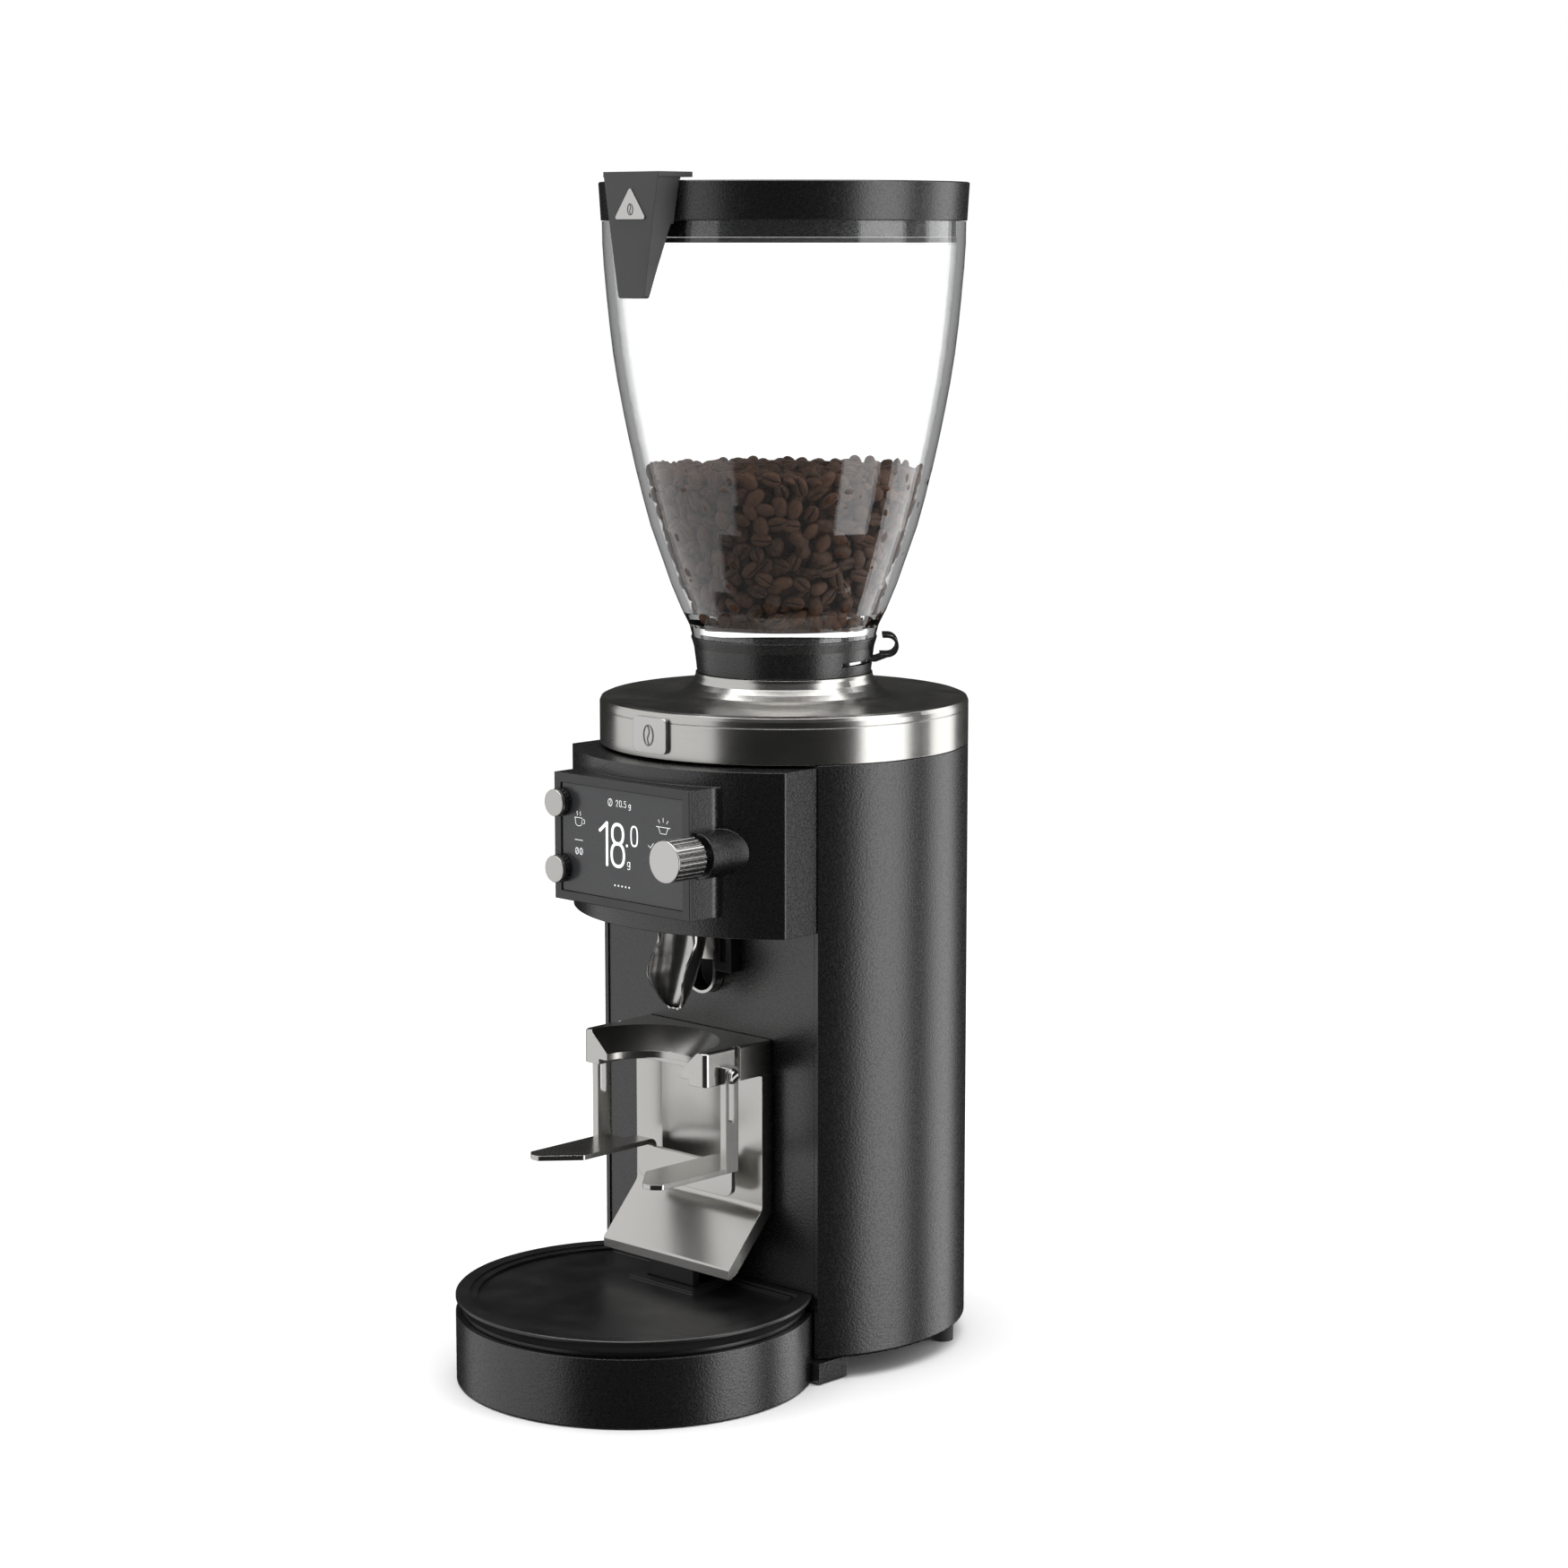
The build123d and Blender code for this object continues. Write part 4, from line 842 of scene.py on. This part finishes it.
class GRINDER_OT_draw_screen(bpy.types.Operator):
    """Draw the lit read-out on the screen: the dose in grams and small working signs"""
    bl_idname = "grinder.draw_screen"
    bl_label = "Draw Screen"

    def execute(self, context):
        settings = context.scene.grinder_screen
        low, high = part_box("display_glass")
        middle = Vector(((low.x + high.x) / 2, low.y, (low.z + high.z) / 2))
        self.back = low.y + 0.02 * MM
        self.face = low.y - 0.05 * MM
        self.verts, self.faces = [], []
        wide, fine = settings.stroke, 0.3 * MM

        def at(x, z):
            return middle.x + x * MM, middle.z + z * MM

        big_height = 24.6 * MM
        self.stroke(figure_one(*at(-18.4, -12.6), big_height), wide)
        self.stroke(figure_eight(*at(-8.6, -12.6), big_height), wide)
        self.dot(at(4.3, 0.4), 0.85 * MM)
        self.stroke(figure_zero(*at(7.8, 0.9), 11.4 * MM), 1.0 * MM)
        self.stroke(letter_g(*at(4.6, -11.6), 2.6 * MM), 0.36 * MM)
        self.draw_small_readout(at, fine)
        self.draw_signs(at, fine)
        material = figure_finish(settings.glow, settings.strength)
        piece = add_piece("screen_figures", "chassis", self.verts, self.faces, material,
                          False)
        if len(piece.data.polygons) < FEWEST_FACES:
            raise RuntimeError("the read-out came out empty")
        return {"FINISHED"}

    def add(self, verts, faces):
        offset = len(self.verts)
        self.verts += verts
        self.faces += [tuple(i + offset for i in face) for face in faces]

    def stroke(self, strokes, width):
        for points, closed in strokes:
            self.add(*stroke_mesh(points, width, self.face, self.back, closed))

    def dot(self, centre, radius):
        self.add(*dot_mesh(centre, radius, self.face, self.back))

    def draw_small_readout(self, at, fine):
        """The small set dose over the large figures."""
        height = 3.6 * MM
        self.stroke(figure_two(*at(-4.6, 22.6), height), fine)
        self.stroke(figure_zero(*at(-1.8, 22.6), height), fine)
        self.dot(at(0.9, 22.8), 0.3 * MM)
        self.stroke(figure_five(*at(2.0, 22.6), height), fine)
        self.stroke(letter_g(*at(6.0, 22.8), 1.9 * MM), 0.3 * MM)
        self.stroke([(oval(*at(-9.6, 24.4), 1.7 * MM, 2.1 * MM), True)], 0.34 * MM)
        self.stroke([([at(-9.6, 26.2), at(-9.2, 24.6), at(-10.0, 24.0), at(-9.6, 22.6)], False)], 0.3 * MM)

    def draw_signs(self, at, fine):
        """Plain signs at the sides: a steaming cup, two beans, a scale pan, a tick and a row of dots."""
        cup = [at(-39.6, 12.4), at(-38.9, 8.4), at(-37.6, 7.6), at(-35.4, 7.6), at(-34.1, 8.4),
               at(-33.4, 12.4)]
        self.stroke([(cup + [cup[0]], False)], fine)
        handle = oval(*at(-32.6, 10.4), 1.3 * MM, 1.3 * MM, 1.0, 10, -math.pi / 2, math.pi)
        self.stroke([(handle, False)], fine)
        for x in (-37.8, -35.2):
            steam = [at(x, 13.8), at(x + 0.5, 14.6), at(x - 0.3, 15.4), at(x + 0.2, 16.2)]
            self.stroke([(steam, False)], fine)
        self.stroke([([at(-39.8, -0.8), at(-33.2, -0.8)], False)], fine)
        for x in (-38.2, -34.6):
            self.stroke([(oval(*at(x, -7.4), 1.3 * MM, 1.9 * MM), True)], fine)
            crease = [at(x, -5.8), at(x + 0.3, -7.2), at(x - 0.3, -7.8), at(x, -9.0)]
            self.stroke([(crease, False)], 0.26 * MM)
        pan = [at(28.8, 14.6), at(40.2, 14.6)]
        self.stroke([(pan, False), ([at(30.6, 14.4), at(32.2, 10.8), at(36.8, 10.8), at(38.4, 14.4)], False),
                   ([at(34.5, 17.6), at(34.5, 20.0)], False), ([at(31.6, 17.0), at(30.6, 18.6)], False),
                   ([at(37.4, 17.0), at(38.4, 18.6)], False)], fine)
        self.stroke([([at(22.2, 2.8), at(23.8, 1.4), at(26.4, 4.4)], False)], fine)
        for i in range(5):
            self.dot(at(-6.0 + 3.0 * i, -24.0), 0.55 * MM)


# ---------------------------------------------------------------- chute
# in mm: drop below the chute's top, half width at the back, back face, half width at the lip, lip;
# the back face and the lip are measured from the tower's axis
CHUTE_LEVELS = ((0.0, 15.9, -72.6, 14.6, -93.2), (13.0, 15.9, -72.8, 14.6, -92.8),
                (20.2, 15.8, -73.8, 15.2, -92.2), (26.7, 15.4, -75.4, 15.9, -95.0),
                (31.1, 15.0, -76.8, 16.2, -98.0), (35.6, 14.6, -78.4, 16.2, -100.2),
                (41.4, 14.0, -80.8, 15.2, -101.0), (51.0, 11.2, -85.2, 11.6, -97.6),
                (57.8, 6.8, -89.6, 7.0, -94.8), (60.1, 3.0, -92.2, 3.0, -94.4))
CHUTE_FOLD = 0.7
CHUTE_WALL = 1.3 * MM
CHUTE_ROWS = 48
CHUTE_COLUMNS = 40


def smooth_steps(levels, count):
    """Rows between the levels on a smooth curve through them."""
    points = [levels[0], *levels, levels[-1]]
    rows = []
    for i in range(count + 1):
        place = i / count * (len(levels) - 1)
        k = min(int(place), len(levels) - 2)
        t = place - k
        a, b, c, d = (np.array(points[k + n]) for n in range(4))
        rows.append(0.5 * (2 * b + (c - a) * t + (2 * a - 5 * b + 4 * c - d) * t ** 2
                           + (3 * b - a - 3 * c + d) * t ** 3))
    return rows


def chute_section(row, axis_y, top):
    """Points from one lip round the back to the other, at one height."""
    drop, back_half, back, lip_half, lip = row
    middle = max(back - back_half, lip + 0.5)
    points = []
    for j in range(CHUTE_COLUMNS + 1):
        side = 2 * j / CHUTE_COLUMNS - 1
        reach = abs(side)
        if reach < CHUTE_FOLD:
            turn = reach / CHUTE_FOLD * math.pi / 2
            x, y = back_half * math.sin(turn), middle + (back - middle) * math.cos(turn)
        else:
            t = (reach - CHUTE_FOLD) / (1 - CHUTE_FOLD)
            x, y = back_half + (lip_half - back_half) * t * t, middle + (lip - middle) * t
        points.append(Vector((math.copysign(x, side) * MM, axis_y + y * MM, top - drop * MM)))
    return points


class GRINDER_OT_shape_chute(bpy.types.Operator):
    """Shape the polished chute as one smooth folded sheet with a thin lip"""
    bl_idname = "grinder.shape_chute"
    bl_label = "Shape Chute"

    def execute(self, context):
        low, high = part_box("rear_shell")
        axis_y = high.y - (high.x - low.x) / 2
        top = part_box("chute")[1].z
        rows = [chute_section(row, axis_y, top) for row in smooth_steps(CHUTE_LEVELS, CHUTE_ROWS)]
        verts = [point for row in rows for point in row]
        wide = CHUTE_COLUMNS + 1
        faces = [(i * wide + j, i * wide + j + 1, (i + 1) * wide + j + 1, (i + 1) * wide + j)
                 for i in range(CHUTE_ROWS) for j in range(CHUTE_COLUMNS)]
        bright = tuple(context.scene.grinder_finish.bright_colour)
        chrome = metal_finish("Chute steel", bright, 0.12 * MM, (0.2, 0.24), UPRIGHT_GRAIN, 400.0,
                              0.0002 * MM, 0.97)
        piece = add_piece("chute_sheet", "chassis", verts, faces, chrome, True, ("chute",))
        thicken = piece.modifiers.new("Wall", "SOLIDIFY")
        thicken.thickness = CHUTE_WALL
        thicken.offset = -1.0
        rounded = piece.modifiers.new("Lip", "BEVEL")
        rounded.width = 0.35 * MM
        rounded.segments = 3
        rounded.limit_method = "ANGLE"
        return {"FINISHED"}


# ---------------------------------------------------------------- badges
class GRINDER_OT_emboss_badges(bpy.types.Operator):
    """Emboss a plain coffee bean on the ring's pad and on the clip's triangle"""
    bl_idname = "grinder.emboss_badges"
    bl_label = "Emboss Badges"

    def execute(self, context):
        bright = tuple(context.scene.grinder_finish.bright_colour)
        low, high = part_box("ring_badge")
        pad = Vector(((low.x + high.x) / 2, low.y, (low.z + high.z) / 2))
        dark = metal_finish("Badge relief", tuple(c * 0.35 for c in bright), 0.2 * MM, (0.3, 0.4))
        self.emboss("ring_badge_bean", "chassis", "steel_satin", pad, Vector((0, -1, 0)), 6.0 * MM, dark)
        plate = max(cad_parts["clip_badge"].data.polygons, key=self.outward_area)
        place, outward = plate.center.copy(), plate.normal.copy()
        self.emboss("clip_badge_bean", "lid", "badge_steel", place, outward, 3.2 * MM, dark)
        return {"FINISHED"}

    def outward_area(self, polygon):
        middle = object_middle()
        away = Vector((polygon.center.x - middle.x, polygon.center.y - middle.y, 0.0))
        return polygon.area if polygon.normal.dot(away) > 0 else 0.0

    def emboss(self, name, body, slot, place, normal, half_height, material):
        up = Vector((0, 0, 1))
        across = up.cross(normal).normalized()
        up = normal.cross(across).normalized()
        width = 0.13 * half_height
        steps = [k / 8 - 1 for k in range(17)]
        line = [(0.12 * half_height * math.sin(3.6 * t), 0.86 * half_height * t) for t in steps]
        verts, faces = [], []
        for points, closed in ((oval(0.0, 0.0, 0.64 * half_height, half_height), True), (line, False)):
            some_verts, some_faces = stroke_mesh(points, width, -0.22 * MM, 0.12 * MM, closed)
            faces += [tuple(k + len(verts) for k in face) for face in some_faces]
            verts += some_verts
        lifted = [place + x * across - y * normal + z * up for x, y, z in verts]
        add_piece(name, body, lifted, faces, material, False)


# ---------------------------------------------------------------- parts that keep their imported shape
class GRINDER_OT_finish_casing(bpy.types.Operator):
    """Give the casing, base, tray, lid and small mouldings their black and grey plastics"""
    bl_idname = "grinder.finish_casing"
    bl_label = "Finish Casing"

    def execute(self, context):
        s = context.scene.grinder_finish
        casing, plastic = tuple(s.casing_colour), tuple(s.plastic_colour)
        wear(TEXTURED_BLACK, grained_finish("Textured black", casing, s.grain_size, s.edge_softness))
        wear(("hopper_lid",), grained_finish("Textured lid", casing, s.grain_size, 1.0 * MM, depth=0.05 * MM))
        wear(SMOOTH_BLACK, moulded_finish("Smooth black", plastic, s.edge_softness))
        surround = moulded_finish("Screen surround", (0.014, 0.014, 0.015), 0.7 * MM, (0.35, 0.45))
        wear(("display_bezel",), surround)
        wear(GREY_PLASTIC, moulded_finish("Dark grey plastic", (0.026, 0.026, 0.028), 0.8 * MM, (0.38, 0.5)))
        wear(GLOSS_BLACK, moulded_finish("Gloss black", (0.01, 0.01, 0.01), 0.5 * MM, (0.15, 0.25)))
        wear(RUBBER, rubber_finish())
        wear(("control_board",), board_finish())
        wear(("display_glass",), screen_finish())
        return {"FINISHED"}


class GRINDER_OT_finish_metal(bpy.types.Operator):
    """Give the sheet steel, the bright parts and the top ring their metals"""
    bl_idname = "grinder.finish_metal"
    bl_label = "Finish Metal"

    def execute(self, context):
        s = context.scene.grinder_finish
        steel, bright = tuple(s.steel_colour), tuple(s.bright_colour)
        soft = 0.5 * s.edge_softness
        wear(SATIN_STEEL, metal_finish("Satin sheet steel", steel, soft, (0.22, 0.26), (1.0, 1.0, 0.05),
                                       1500.0, shade=0.97))
        wear(("top_cover",), metal_finish("Satin ring", steel, soft, (0.2, 0.25), (0.03, 0.03, 1.0), 2600.0))
        wear(("ring_badge", "clip_badge"), metal_finish("Badge steel", bright, soft, (0.25, 0.35)))
        wear(POLISHED_STEEL, metal_finish("Polished steel", bright, soft, (0.06, 0.14), UPRIGHT_GRAIN,
                                          400.0, 0.002 * MM))
        wear(BRIGHT_STEEL, metal_finish("Turned knob", bright, 0.15 * MM, (0.16, 0.2), (1.0, 0.05, 1.0),
                                        1800.0))
        wear(BUTTON_STEEL, metal_finish("Button caps", steel, 0.4 * MM, (0.3, 0.4), EVEN_GRAIN, 1500.0))
        return {"FINISHED"}


class GRINDER_OT_finish_works(bpy.types.Operator):
    """Give the motor, burrs, adjuster and frame inside the tower their metals"""
    bl_idname = "grinder.finish_works"
    bl_label = "Finish Works"

    def execute(self, context):
        soft = context.scene.grinder_finish.edge_softness
        for names, label, colour, roughness, grain, lines in (
                (PLAIN_STEEL, "Plain steel", (0.48, 0.48, 0.49), (0.3, 0.45), UPRIGHT_GRAIN, 900.0),
                (BURR_STEEL, "Burr steel", (0.42, 0.42, 0.44), (0.2, 0.3), EVEN_GRAIN, 1600.0),
                (("adjusting_ring",), "Bronze", (0.56, 0.36, 0.16), (0.3, 0.42), EVEN_GRAIN, 900.0)):
            wear(names, metal_finish(label, colour, soft, roughness, grain, lines))
        wear(CAST_ALUMINIUM, metal_finish("Cast aluminium", (0.62, 0.62, 0.63), soft, (0.42, 0.6), EVEN_GRAIN,
                                          1200.0, 0.04 * MM))
        wear(("motor_stator",), copper_finish())
        return {"FINISHED"}


class GRINDER_OT_finish_hopper(bpy.types.Operator):
    """Give the hopper its clear plastic"""
    bl_idname = "grinder.finish_hopper"
    bl_label = "Finish Hopper"

    def execute(self, context):
        wear(("hopper_shell",), clear_finish())
        return {"FINISHED"}


# ---------------------------------------------------------------- studio
FLOOR_REACH = 9.0
FLOOR_STEPS = 12
SENSOR_WIDTH = 36.0
FARTHEST_VIEW = 50.0


def add_panel(name, bearing, distance, width, low, high, glow):
    """Soft upright panel round the object: bearing in degrees from the right, glow as seen on its face."""
    height = high - low
    data = bpy.data.lights.new(name, "AREA")
    data.shape = "RECTANGLE"
    data.size = width
    data.size_y = height
    data.energy = math.pi * width * height * glow
    light = bpy.data.objects.new(name, data)
    angle = math.radians(bearing)
    away = Vector((math.cos(angle), math.sin(angle), 0.0))
    middle = object_middle()
    light.location = (middle.x + distance * away.x, middle.y + distance * away.y, (low + high) / 2)
    light.rotation_euler = (-away).to_track_quat("-Z", "Y").to_euler()
    light.visible_camera = False
    bpy.context.scene.collection.objects.link(light)


def add_sky_light(strength):
    """Wide soft light from overhead that keeps the floor evenly bright."""
    data = bpy.data.lights.new("Overhead light", "SUN")
    data.energy = strength
    data.angle = math.radians(70.0)
    light = bpy.data.objects.new("Overhead light", data)
    light.location = (0.0, 0.0, 3.0)
    bpy.context.scene.collection.objects.link(light)


def seen_through(tree, path):
    """How white the room looks through clear plastic: bright straight through, softer after a reflection."""
    no_diffuse = math_node(tree, "LESS_THAN", path.outputs["Diffuse Depth"], 0.5)
    no_gloss = math_node(tree, "LESS_THAN", path.outputs["Glossy Depth"], 0.5)
    one_wall = math_node(tree, "LESS_THAN", path.outputs["Transmission Depth"], 2.5)
    glow = math_node(tree, "MAXIMUM", math_node(tree, "MULTIPLY", no_gloss, 1.4),
                     math_node(tree, "MULTIPLY", one_wall, 0.4))
    passed = math_node(tree, "MULTIPLY", path.outputs["Is Transmission Ray"], no_diffuse)
    return math_node(tree, "MULTIPLY", passed, glow)


def studio_world(strength):
    """Dim room whose walls look white where they are seen straight or through the clear hopper."""
    world = bpy.data.worlds.new("Studio")
    bpy.context.scene.world = world
    world.use_nodes = True
    tree = world.node_tree
    tree.nodes.clear()
    path = tree.nodes.new("ShaderNodeLightPath")
    seen = math_node(tree, "MAXIMUM", path.outputs["Is Camera Ray"], seen_through(tree, path))
    room = tree.nodes.new("ShaderNodeBackground")
    room.inputs["Color"].default_value = (1.0, 1.0, 1.0, 1.0)
    tree.links.new(math_node(tree, "MAXIMUM", seen, strength), room.inputs["Strength"])
    out = tree.nodes.new("ShaderNodeOutputWorld")
    tree.links.new(room.outputs[0], out.inputs["Surface"])


def floor_finish():
    """Matt white floor."""
    material, tree, shader = new_material("Pale floor", Roughness=0.9, Specular_IOR_Level=0.0)
    where = tree.nodes.new("ShaderNodeTexCoord")
    cloud = noise(tree, where, 3.0, 2.0)
    pale = mixed_colour(tree, cloud.outputs["Fac"], (0.88, 0.88, 0.88), (0.9, 0.9, 0.9))
    tree.links.new(pale, shader.inputs["Base Color"])
    return material


class GRINDER_OT_set_stage(bpy.types.Operator):
    """Lay the pale floor and set the lights and the camera"""
    bl_idname = "grinder.set_stage"
    bl_label = "Set Stage"

    def execute(self, context):
        s = context.scene.grinder_studio
        self.lay_floor(cad_box[0][2], object_middle())
        self.set_camera(s)
        glow = s.panel_glow
        add_panel("Left softbox", -130.5, 1.5, 2.85, -0.7, 2.3, glow * 0.8)
        add_panel("Right softbox", 19.5, 1.8, 1.05, -0.7, 2.1, glow * 2.2)
        add_panel("Back softbox", 69.0, 1.8, 0.85, -0.7, 2.1, glow * 1.8)
        add_sky_light(s.floor_light)
        studio_world(s.room_light)
        context.scene.view_settings.view_transform = "Standard"
        return {"FINISHED"}

    def lay_floor(self, level, middle):
        """A flat square grid far wider than the view."""
        row = FLOOR_STEPS + 1
        marks = [FLOOR_REACH * (2 * i / FLOOR_STEPS - 1) for i in range(row)]
        verts = [(middle.x + x, middle.y + y, level) for x in marks for y in marks]
        corners = [i * row + j for i in range(FLOOR_STEPS) for j in range(FLOOR_STEPS)]
        faces = [(a, a + row, a + row + 1, a + 1) for a in corners]
        mesh = bpy.data.meshes.new("floor")
        mesh.from_pydata(verts, [], faces)
        mesh.materials.append(floor_finish())
        floor = bpy.data.objects.new("floor", mesh)
        bpy.context.scene.collection.objects.link(floor)
        floor.visible_glossy = False
        floor.visible_transmission = False
        floor.visible_shadow = False

    def set_camera(self, s):
        data = bpy.data.cameras.new("Camera")
        data.lens = s.lens
        data.sensor_width = SENSOR_WIDTH
        data.clip_end = FARTHEST_VIEW
        camera = bpy.data.objects.new("Camera", data)
        camera.location = s.place
        level = math.cos(s.tilt)
        look = Vector((-math.sin(s.turn) * level, math.cos(s.turn) * level, -math.sin(s.tilt)))
        camera.rotation_euler = look.to_track_quat("-Z", "Y").to_euler()
        bpy.context.scene.collection.objects.link(camera)
        bpy.context.scene.camera = camera


# ---------------------------------------------------------------- panel and registration
STEPS = ("set_stage", "finish_casing", "finish_metal", "finish_works", "finish_hopper", "fill_hopper",
         "draw_screen", "shape_chute", "emboss_badges")


class GRINDER_PT_tools(bpy.types.Panel):
    """Grinder tools in the sidebar"""
    bl_idname = "GRINDER_PT_tools"
    bl_label = "Coffee Grinder"
    bl_space_type = "VIEW_3D"
    bl_region_type = "UI"
    bl_category = "Grinder"

    def draw(self, context):
        for step in STEPS:
            self.layout.operator("grinder." + step)
        for group in SETTINGS:
            box = self.layout.box()
            settings = getattr(context.scene, group)
            for name in settings.bl_rna.properties.keys():
                if name not in ("rna_type", "name"):
                    box.prop(settings, name)


SETTINGS = {
    "grinder_finish": GrinderFinishSettings,
    "grinder_beans": GrinderBeanSettings,
    "grinder_screen": GrinderScreenSettings,
    "grinder_studio": GrinderStudioSettings,
}
OPERATORS = (GRINDER_OT_set_stage, GRINDER_OT_finish_casing, GRINDER_OT_finish_metal, GRINDER_OT_finish_works,
             GRINDER_OT_finish_hopper, GRINDER_OT_fill_hopper, GRINDER_OT_draw_screen, GRINDER_OT_shape_chute,
             GRINDER_OT_emboss_badges)


def register():
    for group, cls in SETTINGS.items():
        bpy.utils.register_class(cls)
        setattr(bpy.types.Scene, group, bpy.props.PointerProperty(type=cls))
    for cls in (*OPERATORS, GRINDER_PT_tools):
        bpy.utils.register_class(cls)


def unregister():
    for cls in (GRINDER_PT_tools, *reversed(OPERATORS)):
        bpy.utils.unregister_class(cls)
    for group, cls in SETTINGS.items():
        delattr(bpy.types.Scene, group)
        bpy.utils.unregister_class(cls)


def main():
    register()
    for step in STEPS:
        getattr(bpy.ops.grinder, step)()


if __name__ == "__main__":
    main()
